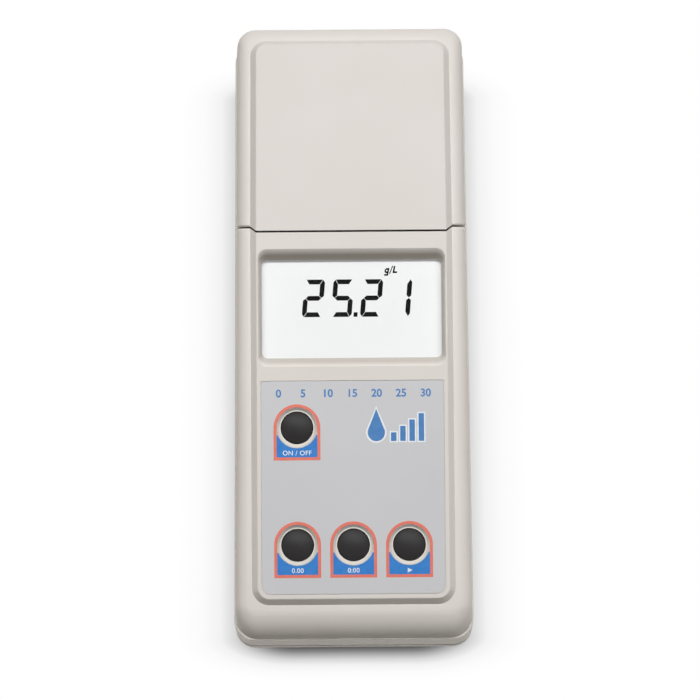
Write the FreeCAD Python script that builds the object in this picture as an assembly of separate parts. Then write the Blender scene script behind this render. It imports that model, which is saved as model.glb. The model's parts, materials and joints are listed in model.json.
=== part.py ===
import FreeCAD, Part
import math
import os

# Photometer with a hinged lid, in millimetres.
# X is to the right, Y to the back (lid end), Z up; the origin is on the table under the middle of the case.

# Case
length = 220.0
width = 83.2
height = 75.0               # table to the top of the closed lid
wall = 2.5
foot_height = 2.0           # table to the underside of the lower case
base_depth = 22.7           # leaning walls of the lower case
base_front_lean = 4.4       # its front stands in by this much at the bottom
base_side_lean = 1.0
rim_height = 3.3            # upright edge of the lower case under the seam
seam_gap = 1.0              # dark line between the two halves of the case
seam_depth = 1.0
skirt_height = 11.4         # upright band of the upper case above the seam
skirt_step = 0.4            # upper walls stand in from the skirt by this much
skirt_bevel = 0.24          # broken edge on top of the skirt
skirt_radius = 7.0
front_radius = 8.0          # upright corners at the front
back_radius = 6.5           # upright corners at the back
side_draft = 2.55           # degrees
front_draft = 18.0
back_draft = 10.0
edge_round = 4.2            # rounding of the upper edges
nose_round = 11.0           # rounding of the front edge
base_round = 1.0

# Raised panel over lid and face
face_front = 49.414         # table to the level of the face above the front of the case
panel_rise = 2.3
panel_run = 2.1             # width of the panel's bevelled edge
panel_wall = 3.0
panel_root = 1.0            # the panel's block reaches this far under the shoulders
panel_edge_round = 0.6
side_shoulder = 6.4         # outside of the case to the foot of the bevel
front_shoulder = 8.1
back_shoulder = 4.8
panel_front_radius = 4.0
panel_back_radius = 3.5

# Lid
lid_jog = 1.7               # the lid's edge steps back by this much on the shoulders
lid_lean = 14.0             # degrees that the edge leans back on its way down
lid_gap = 0.7               # open line between lid and face
lid_split = 54.0            # table to the top of the rear walls
lid_rest_gap = 0.35
seam_bevel = 0.5            # lid's and face's edges where they meet on the shoulders
deck_depth = 4.0            # rear walls stand above the deck by this much
deck_thick = 2.5
deck_clear = 0.15
deck_ledge = 2.0            # ledge that carries the deck
deck_ledge_height = 2.0
hinge_shelf = 4.0           # case's own strip in front of the knuckles
hinge_inset = 2.1           # back of the lid to the pin
knuckle_radius = 2.2
knuckle_clear = 0.3
knuckle_length = 13.4
pin_radius = 0.9
pin_clear = 0.05
foam_thick = 2.0
foam_margin = 4.0

# Display
bezel_back = 6.5            # lid's edge to the display recess, along the face
bezel_length = 41.0
bezel_side = 0.5            # panel edge to the recess
bezel_run_back = 3.6        # width of the recess's sloping walls
bezel_run_front = 3.1
bezel_run_side = 1.3
bezel_radius = 3.2
bezel_edge_round = 0.35
glass_radius = 2.0
window_thick = 1.2
window_lap = 1.7            # window reaches this far behind the recess's edge
display_thick = 2.8
display_gap = 0.1           # window to the liquid-crystal panel
display_lap = 1.0
frame_wall = 1.7
frame_clear = 0.15
contact_width = 2.0

# Keypad
label_back = 52.6           # lid's edge to the label, along the face
label_front_margin = 1.65
label_side_margin = 1.45
label_radius = 3.0
label_back_radius = 0.5
label_thick = 0.3
label_sink = 0.05
label_clear = 0.15
key_field_margin = 2.7      # label's side to the three equal key fields
key_row = 18.5              # front edge of the panel to the row of three keys
power_key_shift = 0.6342    # single key past a third of the way from the display to the row
ring_radius = 6.95
ring_cone_radius = 6.1
ring_cone_depth = 0.8
key_radius = 5.45
key_clear = 0.25
key_dome = 1.5
key_edge = 0.5              # dome's edge below the face
flange_lap = 1.2
flange_thick = 1.2
flange_gap = 0.1
stem_radius = 1.5
key_travel = 0.7
switch_size = 6.0
switch_height = 2.0
plunger_radius = 1.6
plunger_height = 0.8
plunger_gap = 0.15          # stem to plunger with the key pressed home

# Main board
board_drop = 10.0           # face to the board
board_thick = 1.6
board_back = 8.0
board_front_margin = 4.8
standoff_radius = 3.0
standoff_side = 4.1
standoff_front = 9.0
standoff_back = 1.6         # past the display frame
board_screw_radius = 0.95
thread_clear = 0.05
board_screw_head = 2.0
board_screw_head_height = 1.4
board_screw_length = 6.0
chip_size = 14.0
chip_height = 1.8
socket_size = 9.0
socket_height = 5.0
capacitor_radius = 4.0
capacitor_height = 7.5

# Sample well and optics
cell_radius = 12.7          # takes a 25 mm round vial
holder_wall = 2.3
holder_floor = 2.5
holder_clear = 0.2
holder_flange = 3.0
well_seat = 4.1             # seat of the holder above the floor
well_rise = 2.5             # holder's rim above the deck
collar_width = 4.0
well_gap = 4.6584           # well to the battery bay, and its collar to the front of the deck
collar_height = 1.6
beam_height = 30.0          # table to the light path
beam_radius = 4.0
pad_size = 18.0
pad_reach = 2.0
filter_radius = 6.4
filter_thick = 3.0
filter_clear = 0.1
photocell_radius = 4.6
photocell_thick = 1.8
detector_size = 24.0
detector_screw_radius = 0.8
detector_screw_head = 1.6
detector_screw_edge = 1.6   # edge of the pad to the screws
detector_clear = 0.4        # round the detector board and its screws
lamp_radius = 4.5
lamp_clear = 0.1
lamp_length = 9.0
lamp_base_radius = 6.0
lamp_base_thick = 2.0
lamp_holder_length = 11.0

# Base
floor_thick = 2.5
lip_height = 3.7
lip_thick = 1.6
lip_clear = 0.2
boss_side = 8.5             # outside of the case to the screw bosses
boss_front = 11.0
boss_bay_gap = 0.3          # battery bay to the rear pillars
boss_radius = 4.0
boss_rib = 1.6
pillar_radius = 5.0
pillar_rise = 0.8           # pillars above the lip
case_screw_radius = 1.2
case_screw_hole = 1.7
case_screw_head = 2.8
case_screw_head_clear = 0.2
case_screw_head_height = 2.0
case_screw_seat = 4.5       # top of the pillars to the screws' heads
case_screw_length = 12.0
foot_radius = 5.0
foot_sink = 0.8
foot_side = 12.0
foot_front = 27.0
foot_back = 52.0

# Battery bay, across the back of the base
battery_length = 46.4
battery_width = 26.5
battery_thick = 17.5
battery_clear = 0.3
terminal_radius = 3.4
terminal_height = 2.1
terminal_pitch = 12.7
snap_thick = 3.0
snap_width = 24.0
snap_height = 12.0
snap_gap = 0.05             # battery to the snap
snap_clear = 0.1
bay_wall = 1.6
bay_reach = 13.2            # end walls' length along the battery
bay_height = 9.0
cover_clear = 0.25
cover_tongue = 1.2
cover_tongue_thick = 1.0
cover_ledge = 1.2
cover_end = 1.4
cover_end_height = 6.0
cover_ridge_width = 1.0
cover_ridge_depth = 0.5
cover_ridge_pitch = 3.0
cover_ridge_length = 25.0
cover_ridge_count = 5

Vec = FreeCAD.Vector
far = 2.0 * (length + width + height)
cut_over = 0.3              # cutters reach past a face by this much

# Levels and lines that follow from the sizes above
base_top = foot_height + base_depth
rim_top = base_top + rim_height
seam_z = rim_top + seam_gap
skirt_top = seam_z + skirt_height
floor_top = foot_height + floor_thick
pillar_top = seam_z + lip_height + pillar_rise
case_screw_head_top = pillar_top - case_screw_seat
cover_end_top = foot_height + cover_end_height
shoulder_z = height - panel_rise
deck_top = lid_split - deck_depth
deck_under = deck_top - deck_thick
edge_lean = math.tan(math.radians(lid_lean))
holder_radius = cell_radius + holder_wall
collar_inner = holder_radius + holder_clear / 2
battery_y = length / 2 - wall - lip_clear - lip_thick - battery_clear - battery_width
bay_front = battery_y - battery_clear - bay_wall

# The well stands in front of the battery bay, and the lid reaches over both
cell_y = bay_front - well_gap - holder_radius
deck_line = cell_y - well_gap - collar_inner - collar_width
deck_front = deck_line - (height - deck_top) * edge_lean
seam_y = deck_front + lid_gap
lid_length = length / 2 - seam_y
slope = math.atan2(height - face_front, length - lid_length)  # the face falls towards the front
block_top = height + length * math.tan(slope)
panel_half = width / 2 - side_shoulder - panel_run
bevel_ratio = panel_run / panel_rise


def half_width_at(z):
    return width / 2 - skirt_step - (z - skirt_top) * math.tan(math.radians(side_draft))


def front_at(z):
    return -length / 2 + skirt_step + (z - skirt_top) * math.tan(math.radians(front_draft))


def back_at(z):
    return length / 2 - skirt_step - (z - skirt_top) * math.tan(math.radians(back_draft))


# Distance along the face from the lid's edge to where the shoulder meets the front wall
def face_reach():
    fall = math.tan(slope)
    lean = math.tan(math.radians(front_draft))
    start = height - panel_rise / math.cos(slope) - fall * (seam_y - front_at(skirt_top))
    z = (start - fall * lean * skirt_top) / (1 - fall * lean)
    return (seam_y - front_at(z)) * math.cos(slope) + (height - z) * math.sin(slope)


panel_end = face_reach() - front_shoulder - panel_run
label_end = panel_end - label_front_margin
label_half = panel_half - label_side_margin
key_pitch = 2 * (label_half - key_field_margin) / 3
row_along = panel_end - key_row
display_end = bezel_back + bezel_length
power_along = display_end + (row_along - display_end) / 3 + power_key_shift
keys = {
    "power_button": (-key_pitch, power_along),
    "left_button": (-key_pitch, row_along),
    "middle_button": (0.0, row_along),
    "right_button": (key_pitch, row_along),
}
key_hole = key_radius + key_clear
flange_top = -panel_wall - flange_gap
flange_under = flange_top - flange_thick
plunger_top = -board_drop + switch_height + plunger_height
stem_end = plunger_top + plunger_gap + key_travel

hinge_z = lid_split
hinge_y = back_at(lid_split) - hinge_inset
deck_screw_under = deck_top - board_screw_length
knuckle_bore = pin_radius + pin_clear
knuckle_swing = knuckle_radius + knuckle_clear
deck_end = hinge_y - knuckle_swing - hinge_shelf
pad_face = holder_radius + pad_reach
battery_z = floor_top + battery_clear
battery_x = -(battery_length + terminal_height) / 2


def box(x0, x1, y0, y1, z0, z1):
    return Part.makeBox(x1 - x0, y1 - y0, z1 - z0, Vec(x0, y0, z0))


def disc(radius, z0, z1, x=0.0, y=0.0):
    return Part.makeCylinder(radius, z1 - z0, Vec(x, y, z0))


def rod(radius, x0, x1, y, z):
    return Part.makeCylinder(radius, x1 - x0, Vec(x0, y, z), Vec(1, 0, 0))


def ring(outer, inner, z0, z1, x=0.0, y=0.0):
    return disc(outer, z0, z1, x, y).cut(disc(inner, z0, z1, x, y))


# Rectangle with rounded corners at height z; the front pair and the back pair have their own radius
def rounded_wire(half_x, y0, y1, z, front_r, back_r):
    corners = (
        (half_x - front_r, y0 + front_r, front_r, math.pi * 1.5),
        (half_x - back_r, y1 - back_r, back_r, 0),
        (back_r - half_x, y1 - back_r, back_r, math.pi / 2),
        (front_r - half_x, y0 + front_r, front_r, math.pi),
    )
    arcs = [
        Part.ArcOfCircle(Part.Circle(Vec(x, y, z), Vec(0, 0, 1), r), turn, turn + math.pi / 2)
        for x, y, r, turn in corners
    ]
    edges = []
    for arc, following in zip(arcs, arcs[1:] + arcs[:1]):
        edges.append(arc.toShape())
        edges.append(Part.makeLine(arc.EndPoint, following.StartPoint))
    return Part.Wire(edges)


def rounded_block(half_x, y0, y1, z0, z1, front_r, back_r):
    face = Part.Face(rounded_wire(half_x, y0, y1, z0, front_r, back_r))
    return face.extrude(Vec(0, 0, z1 - z0))


# Block with the case's leaning walls, drawn in by inset, and rounded upright corners
def leaning_block(z0, z1, inset):
    x0 = half_width_at(z0) - inset
    x1 = half_width_at(z1) - inset
    front0 = front_at(z0) + inset
    front1 = front_at(z1) + inset
    back0 = back_at(z0) - inset
    back1 = back_at(z1) - inset
    solid = Part.makeWedge(-x0, z0, -back0, -back1, -x1, x0, z1, -front0, -front1, x1)
    solid.rotate(Vec(0, 0, 0), Vec(1, 0, 0), 90)
    for radius, at_front in ((front_radius, True), (back_radius, False)):
        upright = [e for e in solid.Edges if rises(e) and (e.CenterOfMass.y < 0) == at_front]
        solid = solid.makeFillet(radius - inset, upright)
    return solid


def rises(edge):
    bounds = edge.BoundBox
    return bounds.ZLength > bounds.XLength + bounds.YLength


# The face's own frame: X across, Y back up the slope from the lid's edge, Z out of the face
def on_face(shape):
    placed = shape.copy()
    turn = FreeCAD.Rotation(Vec(1, 0, 0), math.degrees(slope))
    frame = FreeCAD.Placement(Vec(0, seam_y, height), turn)
    placed.Placement = frame.multiply(placed.Placement)
    return placed


def face_box(half_x, along0, along1, low, high):
    return on_face(box(-half_x, half_x, -along1, -along0, low, high))


def face_disc(radius, low, high, x, along):
    return on_face(disc(radius, low, high, x, -along))


# Everything behind the leaning edge of lid or face, with its step at the panel's bevels;
# edge_y is its place at the top of the lid
def behind_edge(edge_y, z0, z1):
    foot = panel_half + panel_run
    line = edge_y + (height - z0) * edge_lean
    points = [
        Vec(-far, line + lid_jog, z0),
        Vec(-foot, line + lid_jog, z0),
        Vec(-panel_half, line, z0),
        Vec(panel_half, line, z0),
        Vec(foot, line + lid_jog, z0),
        Vec(far, line + lid_jog, z0),
        Vec(far, 2 * far, z0),
        Vec(-far, 2 * far, z0),
    ]
    rise = z1 - z0
    return Part.Face(Part.makePolygon(points + points[:1])).extrude(Vec(0, -rise * edge_lean, rise))


# Raised panel with bevelled edges, from a little under the shoulder up to level 0
def panel_block(y0, y1, front_r, back_r):
    sunk = panel_rise + panel_root
    spread = sunk * bevel_ratio
    half = panel_half + spread
    foot = rounded_wire(half, y0 - spread, y1 + spread, -sunk, front_r + spread, back_r + spread)
    top = rounded_wire(panel_half, y0, y1, 0.0, front_r, back_r)
    block = Part.makeLoft([foot, top], True, True)
    return block.makeFillet(panel_edge_round, edges_on(block, Vec(0, 0, 0), Vec(0, 0, 1)))


# Edges that lie in a plane, given by a point on it and its normal
def edges_on(solid, point, normal):
    found = []
    for edge in solid.Edges:
        ends = [v.Point for v in edge.Vertexes] + [edge.CenterOfMass]
        if all(abs((p - point).dot(normal)) < 1e-4 for p in ends):
            found.append(edge)
    return found


# Outer edges of lid or face along the line between them, on the shoulders and sides
def seam_edges(body, y):
    inner = panel_half + panel_run + edge_round / 4
    found = edges_on(body, Vec(0, y, height), Vec(0, 1, edge_lean))
    return [e for e in found if abs(e.CenterOfMass.x) > inner and e.CenterOfMass.z > lid_split + wall]


# Rounds edges with a radius of their own at each end, given as (edge, first radius, second radius)
def round_each(solid, rounds):
    document = FreeCAD.newDocument()
    base = document.addObject("Part::Feature", "base")
    base.Shape = solid
    fillet = document.addObject("Part::Fillet", "fillet")
    fillet.Base = base
    places = [(i, edge) for i, edge in enumerate(base.Shape.Edges, 1)]
    fillet.Edges = [(i, r0, r1) for i, e in places for edge, r0, r1 in rounds if e.isSame(edge)]
    document.recompute()
    rounded = fillet.Shape.copy()
    FreeCAD.closeDocument(document.Name)
    return rounded


# Upper edges of the face: the front one is rounder, and the corners run from one radius to the other
def round_face(body, edges):
    front = min(e.CenterOfMass.y for e in edges)

    def radius_at(vertex):
        return nose_round if vertex.Point.y < front + skirt_bevel else edge_round

    return round_each(body, [(e, radius_at(e.Vertexes[0]), radius_at(e.Vertexes[1])) for e in edges])


def case_outside():
    body = leaning_block(skirt_top - nose_round, block_top, 0.0)
    body = body.cut(on_face(box(-far, far, -far, far, -panel_rise, far)))
    up = Vec(0, -math.sin(slope), math.cos(slope))
    shoulder = Vec(0, seam_y, height) - up * panel_rise
    body = round_face(body, edges_on(body, shoulder, up))
    body = body.common(box(-far, far, -far, far, skirt_top - skirt_step, far))
    panel = on_face(panel_block(-panel_end, lid_length / 2, panel_front_radius, panel_front_radius))
    body = body.fuse(panel)
    edge_y = seam_y - lid_gap
    body = body.cut(behind_edge(edge_y, lid_split, far))
    body = body.makeChamfer(seam_bevel, seam_edges(body, edge_y + lid_jog))
    skirt = rounded_block(width / 2, -length / 2, length / 2, seam_z, skirt_top, skirt_radius, skirt_radius)
    top_edges = edges_on(skirt, Vec(0, 0, skirt_top), Vec(0, 0, 1))
    skirt = skirt.makeChamfer(skirt_bevel, top_edges)
    return body.fuse(skirt).removeSplitter()


def case_cavity():
    inner_r = skirt_radius - wall
    lower = rounded_block(
        width / 2 - wall, wall - length / 2, length / 2 - wall, seam_z, skirt_top, inner_r, inner_r
    )
    upper = leaning_block(skirt_top, block_top, wall)
    upper = upper.cut(on_face(box(-far, far, -far, far, -panel_rise - wall, far)))
    upper = upper.cut(behind_edge(deck_front - wall, deck_under, far))
    pocket_half = panel_half + panel_run / 2
    pocket_under = -panel_rise - 2 * wall
    pocket = face_box(pocket_half, wall + panel_wall, panel_end - wall, pocket_under, -panel_wall)
    return lower.fuse(upper).fuse(pocket)


# Space over the deck, inside the rear walls and open to the back for the lid's swing
def deck_recess():
    inside = leaning_block(deck_top, lid_split + wall, wall)
    inside = inside.common(behind_edge(deck_front, deck_top, far))
    swing = box(-far, far, hinge_y - knuckle_swing, far, hinge_z - knuckle_swing, far)
    return inside.fuse(swing)


# Room for the deck between the rear walls, drawn in by inset
def deck_block(inset):
    block = leaning_block(deck_under, deck_top, wall + inset)
    block = block.common(behind_edge(deck_front + inset, 0, far))
    return block.common(box(-far, far, -far, deck_end - inset, 0, far))


# Ledge that runs round the inside of the rear walls under the deck
def deck_ledges():
    low = deck_under - deck_ledge_height
    outer = leaning_block(low, deck_under, wall / 2)
    outer = outer.common(box(-far, far, deck_line - wall, deck_end + deck_ledge, 0, far))
    inner = leaning_block(low, deck_under, wall + deck_ledge)
    front = deck_line + lid_jog + deck_ledge
    return outer.cut(inner.common(box(-far, far, front, deck_end - deck_ledge, 0, far)))


def knuckle_spans(for_case):
    half = knuckle_length / 2
    step = knuckle_length + knuckle_clear
    places = (-2 * step, 0.0, 2 * step) if for_case else (-step, step)
    return [(x - half, x + half) for x in places]


hinge_half = 2 * (knuckle_length + knuckle_clear) + knuckle_length / 2


# Case knuckles stand on the deck by a web on the lid's side of the pin
def case_knuckles():
    pieces = []
    for x0, x1 in knuckle_spans(True):
        barrel = rod(knuckle_radius, x0, x1, hinge_y, hinge_z)
        web = box(x0, x1, hinge_y - knuckle_radius, hinge_y, deck_under, hinge_z)
        pieces.append(barrel.fuse(web))
    return pieces[0].fuse(pieces[1:])


def boss_places():
    x = width / 2 - boss_side
    front = -length / 2 + boss_front
    back = bay_front - boss_bay_gap - pillar_radius
    return [(sx * x, y) for sx in (-1, 1) for y in (front, back)]


def standoff_places():
    x = panel_half - standoff_side
    back = bezel_back + bezel_length + standoff_radius + standoff_back
    front = panel_end - standoff_front
    return [(sx * x, along) for sx in (-1, 1) for along in (back, front)]


# Funnel of the display recess, carried on past both faces of the panel
def bezel_funnel():
    def section(level):
        t = -level / panel_wall
        half = panel_half - bezel_side - bezel_run_side * t
        back = -bezel_back - bezel_run_back * t
        front = -bezel_back - bezel_length + bezel_run_front * t
        radius = bezel_radius + (glass_radius - bezel_radius) * t
        return rounded_wire(half, front, back, level, radius, radius)

    ends = [section(-panel_wall - cut_over), section(cut_over)]
    return on_face(Part.makeLoft(ends, True, True))


# Edges where the display recess opens out of the panel's face
def bezel_edges(case):
    up = Vec(0, -math.sin(slope), math.cos(slope))
    front = on_face(Part.Vertex(0, -bezel_back - bezel_length - bezel_edge_round, 0)).Point.y
    back = on_face(Part.Vertex(0, -bezel_back + bezel_edge_round, 0)).Point.y
    half = panel_half - bezel_side / 2
    found = edges_on(case, Vec(0, seam_y, height), up)
    return [e for e in found if front < e.CenterOfMass.y < back and abs(e.CenterOfMass.x) < half]


def key_opening(x, along):
    hole = disc(key_hole, -2 * panel_wall, cut_over, x, -along)
    cone_foot = Vec(x, -along, -ring_cone_depth)
    cone = Part.makeCone(ring_cone_radius, ring_radius, ring_cone_depth, cone_foot)
    return on_face(hole.fuse(cone))


def label_outline(grow, low, high):
    return rounded_block(
        label_half + grow, -label_end - grow, grow - label_back, low, high,
        label_radius + grow, label_back_radius + grow,
    )


def label_recess():
    recess = label_outline(label_clear, -label_thick - label_sink, cut_over)
    for x, along in keys.values():
        recess = recess.cut(disc(ring_radius, -panel_wall, cut_over, x, -along))
    return on_face(recess)


def make_upper_case():
    outside = case_outside()
    case = outside.cut(case_cavity())
    case = case.cut(deck_recess()).cut(deck_block(0.0)).fuse(deck_ledges())
    for x, y in boss_places():
        at_deck = y > deck_front
        boss = disc(boss_radius, pillar_top, deck_under if at_deck else height, x, y)
        if at_deck:
            rib_end = math.copysign(width / 2, x)
            half_rib = boss_rib / 2
            rib = box(min(x, rib_end), max(x, rib_end), y - half_rib, y + half_rib, pillar_top, deck_under)
            boss = boss.fuse(rib).cut(deck_screw_pilot(x, y)).cut(detector_room())
        case = case.fuse(boss.common(outside))
    for x, along in standoff_places():
        case = case.fuse(face_disc(standoff_radius, -board_drop, -panel_wall / 2, x, along))
    case = case.fuse(case_knuckles())
    for x, y in boss_places():
        pilot = case_screw_radius + thread_clear
        tip = case_screw_head_top + case_screw_length + thread_clear
        case = case.cut(disc(pilot, pillar_top, tip, x, y))
    for x, along in standoff_places():
        pilot = board_screw_radius + thread_clear
        depth = board_screw_length - board_thick + thread_clear
        case = case.cut(face_disc(pilot, -board_drop, depth - board_drop, x, along))
    case = case.cut(rod(knuckle_bore, -hinge_half, hinge_half, hinge_y, hinge_z))
    case = case.cut(label_recess())
    case = case.cut(bezel_funnel())
    case = case.makeFillet(bezel_edge_round, bezel_edges(case))
    for x, along in keys.values():
        case = case.cut(key_opening(x, along))
    return case


def deck_screw_places():
    return [(x, y) for x, y in boss_places() if y > deck_front]


def deck_screw_pilot(x, y):
    return disc(board_screw_radius + thread_clear, deck_screw_under - thread_clear, deck_top, x, y)


# Deck under the lid: a separate plate that rests on the ledge and is screwed to the rear bosses
def make_well_deck():
    deck = deck_block(deck_clear)
    deck = deck.cut(disc(holder_radius + holder_clear, deck_under, deck_top, 0, cell_y))
    for x, y in deck_screw_places():
        deck = deck.cut(deck_screw_pilot(x, y))
    return deck


def make_deck_screws():
    screws = []
    for x, y in deck_screw_places():
        shank = disc(board_screw_radius, deck_screw_under, deck_top, x, y)
        head = disc(board_screw_head, deck_top, deck_top + board_screw_head_height, x, y)
        screws.append(shank.fuse(head))
    return Part.makeCompound(screws)


def make_lid():
    z0 = lid_split + lid_rest_gap
    body = leaning_block(z0, shoulder_z, 0.0)
    body = body.makeFillet(edge_round, edges_on(body, Vec(0, 0, shoulder_z), Vec(0, 0, 1)))
    panel_back = back_at(shoulder_z) - back_shoulder - panel_run
    panel = panel_block(seam_y - lid_length / 2, panel_back, panel_back_radius, panel_back_radius)
    panel.translate(Vec(0, 0, height))
    body = body.fuse(panel).removeSplitter().common(behind_edge(seam_y, z0, far))
    body = body.makeChamfer(seam_bevel, seam_edges(body, seam_y + lid_jog))
    inside = behind_edge(seam_y + wall, 0, far)
    hollow = leaning_block(z0 - wall, shoulder_z - wall, wall)
    pocket_half = panel_half + panel_run / 2
    pocket = box(-pocket_half, pocket_half, seam_y, panel_back - wall, z0, height - panel_wall)
    body = body.cut(hollow.fuse(pocket).common(inside))
    for x0, x1 in knuckle_spans(False):
        barrel = rod(knuckle_radius, x0, x1, hinge_y, hinge_z)
        bridge = box(x0, x1, hinge_y, hinge_y + hinge_inset / 2, hinge_z, z0 + wall)
        body = body.fuse(barrel).fuse(bridge)
    for x0, x1 in knuckle_spans(True):
        body = body.cut(rod(knuckle_swing, x0 - knuckle_clear, x1 + knuckle_clear, hinge_y, hinge_z))
    return body.cut(rod(knuckle_bore, -hinge_half, hinge_half, hinge_y, hinge_z))


def make_hinge_pin():
    return rod(pin_radius, -hinge_half, hinge_half, hinge_y, hinge_z)


def make_lid_foam():
    half = panel_half - foam_margin
    top = height - panel_wall
    front = seam_y + lid_jog + wall + foam_margin
    back = back_at(shoulder_z) - back_shoulder - panel_run - wall - foam_margin
    return rounded_block(half, front, back, top - foam_thick, top, foam_margin, foam_margin)


# Battery cover: a plate with side tongues that slides out through the back rim
def cover_half():
    return battery_length / 2 + terminal_height


def cover_front():
    return battery_y - bay_wall


def cover_opening():
    half = cover_half() + cover_clear
    front = cover_front() - cover_clear
    plate = box(-half, half, front, far, 0, floor_top)
    end = box(-half, half, length / 2 - cover_end - cover_clear, far, 0, cover_end_top + cover_clear)
    tongue_z = foot_height + cover_ledge - cover_clear
    tongues = box(-half - cover_tongue, half + cover_tongue, front, far, tongue_z, floor_top)
    return plate.fuse(end).fuse(tongues)


def make_battery_cover():
    half = cover_half()
    front = cover_front()
    back = length / 2
    tongue_z = foot_height + cover_ledge
    plate = box(-half, half, front, back, foot_height, tongue_z + cover_tongue_thick)
    tongues = box(
        -half - cover_tongue, half + cover_tongue, front, back - cover_end - cover_clear,
        tongue_z, tongue_z + cover_tongue_thick,
    )
    end = box(-half, half, back - cover_end, back, foot_height, cover_end_top)
    cover = plate.fuse(tongues).fuse(end).common(base_block())
    middle = (front + back) / 2
    reach = cover_ridge_length / 2
    for i in range(cover_ridge_count):
        y = middle + cover_ridge_pitch * (i - (cover_ridge_count - 1) / 2)
        groove = box(-reach, reach, y, y + cover_ridge_width, 0, foot_height + cover_ridge_depth)
        cover = cover.cut(groove)
    return cover.removeSplitter()


def foot_places():
    x = width / 2 - foot_side
    front = -length / 2 + foot_front
    back = length / 2 - foot_back
    return [(sx * x, y) for sx in (-1, 1) for y in (front, back)]


# Outline of the lower case at height z, drawn in by inset; front and sides lean in under its upright edge
def base_outline(inset, z):
    drop = max(base_top - z, 0.0) / base_depth
    half = width / 2 - inset - base_side_lean * drop
    front = inset - length / 2 + base_front_lean * drop
    radius = skirt_radius - inset
    return rounded_wire(half, front, length / 2 - inset, z, radius, radius)


# Block inside that outline; both heights are on the same side of the upright edge's foot
def inset_block(inset, z0, z1):
    return Part.makeLoft([base_outline(inset, z0), base_outline(inset, z1)], True, True)


# Outside of the lower case up to the seam, with its bottom edge rounded
def base_block():
    tub = inset_block(0.0, foot_height, base_top)
    tub = tub.makeFillet(base_round, edges_on(tub, Vec(0, 0, foot_height), Vec(0, 0, 1)))
    return tub.fuse(inset_block(0.0, base_top, rim_top))


def make_lower_case():
    neck = inset_block(seam_depth, rim_top, seam_z)
    lip = inset_block(wall + lip_clear, seam_z, seam_z + lip_height)
    tub = inset_block(wall, floor_top, base_top)
    throat = inset_block(wall + lip_clear + lip_thick, base_top, height)
    case = base_block().fuse(neck).fuse(lip).cut(tub).cut(throat)
    for x, y in boss_places():
        pillar = disc(pillar_radius, foot_height, pillar_top, x, y)
        case = case.fuse(pillar.cut(detector_room()))
    seat_top = floor_top + well_seat
    case = case.fuse(ring(holder_radius, cell_radius, floor_top - floor_thick / 2, seat_top, 0, cell_y))
    case = case.fuse(battery_bay())
    case = case.cut(cover_opening())
    for x, y in boss_places():
        head_r = case_screw_head + case_screw_head_clear
        case = case.cut(disc(head_r, 0, case_screw_head_top, x, y))
        case = case.cut(disc(case_screw_hole, 0, pillar_top, x, y))
    for x, y in foot_places():
        case = case.cut(disc(foot_radius, 0, foot_height + foot_sink, x, y))
    return case.removeSplitter()


# Walls that hold the battery at its front and two ends
def battery_bay():
    half = cover_half() + cover_tongue + 2 * cover_clear
    front = battery_y - battery_clear
    bay_under = floor_top - floor_thick / 2
    outer_half = half + bay_wall
    outer = box(-outer_half, outer_half, bay_front, front + bay_reach, bay_under, floor_top + bay_height)
    inner = box(-half, half, front, far, 0, height)
    return outer.cut(inner)


def make_battery():
    body = box(
        battery_x, battery_x + battery_length, battery_y, battery_y + battery_width,
        battery_z, battery_z + battery_thick,
    )
    x0 = battery_x + battery_length
    middle_y = battery_y + battery_width / 2
    middle_z = battery_z + battery_thick / 2
    for side in (-1, 1):
        y = middle_y + side * terminal_pitch / 2
        body = body.fuse(rod(terminal_radius, x0, x0 + terminal_height, y, middle_z))
    return body


def make_battery_snap():
    x0 = battery_x + battery_length + snap_gap
    middle_y = battery_y + battery_width / 2
    middle_z = battery_z + battery_thick / 2
    snap = box(
        x0, x0 + snap_thick, middle_y - snap_width / 2, middle_y + snap_width / 2,
        middle_z - snap_height / 2, middle_z + snap_height / 2,
    )
    for side in (-1, 1):
        y = middle_y + side * terminal_pitch / 2
        socket = rod(terminal_radius + snap_clear, x0, x0 + terminal_height + snap_clear, y, middle_z)
        snap = snap.cut(socket)
    return snap


def make_cell_holder():
    foot_z = floor_top + well_seat
    rim_z = deck_top + well_rise
    holder = disc(holder_radius, foot_z, rim_z, 0, cell_y)
    flange_radius = holder_radius + holder_flange
    holder = holder.fuse(disc(flange_radius, deck_under - holder_flange, deck_under, 0, cell_y))
    half = pad_size / 2
    reach = pad_face + filter_thick + photocell_thick
    pads = box(-pad_face, reach, cell_y - half, cell_y + half, beam_height - half, beam_height + half)
    holder = holder.fuse(pads)
    holder = holder.cut(disc(cell_radius, foot_z + holder_floor, rim_z, 0, cell_y))
    holder = holder.cut(rod(beam_radius, -far, far, cell_y, beam_height))
    holder = holder.cut(rod(filter_radius + filter_clear, pad_face, reach, cell_y, beam_height))
    pilot = detector_screw_radius + thread_clear
    for y in detector_screw_lines():
        holder = holder.cut(rod(pilot, reach - filter_thick, reach, y, beam_height))
    return holder


def make_well_collar():
    outer = collar_inner + collar_width
    return ring(outer, collar_inner, deck_top, deck_top + collar_height, 0, cell_y)


def make_light_filter():
    return rod(filter_radius, pad_face, pad_face + filter_thick, cell_y, beam_height)


def make_photocell():
    x0 = pad_face + filter_thick + filter_clear
    return rod(photocell_radius, x0, pad_face + filter_thick + photocell_thick, cell_y, beam_height)


def make_detector_board():
    half = detector_size / 2
    x0 = pad_face + filter_thick + photocell_thick
    board = box(x0, x0 + board_thick, cell_y - half, cell_y + half, beam_height - half, beam_height + half)
    for y in detector_screw_lines():
        board = board.cut(rod(detector_screw_radius + thread_clear, x0, x0 + board_thick, y, beam_height))
    return board


# Room that bosses and pillars leave for the detector board and its screws
def detector_room():
    half = detector_size / 2 + detector_clear
    x0 = pad_face + filter_thick + photocell_thick - detector_clear
    x1 = x0 + 2 * board_thick + 2 * detector_clear
    return box(x0, x1, cell_y - half, cell_y + half, beam_height - half, beam_height + half)


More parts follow.
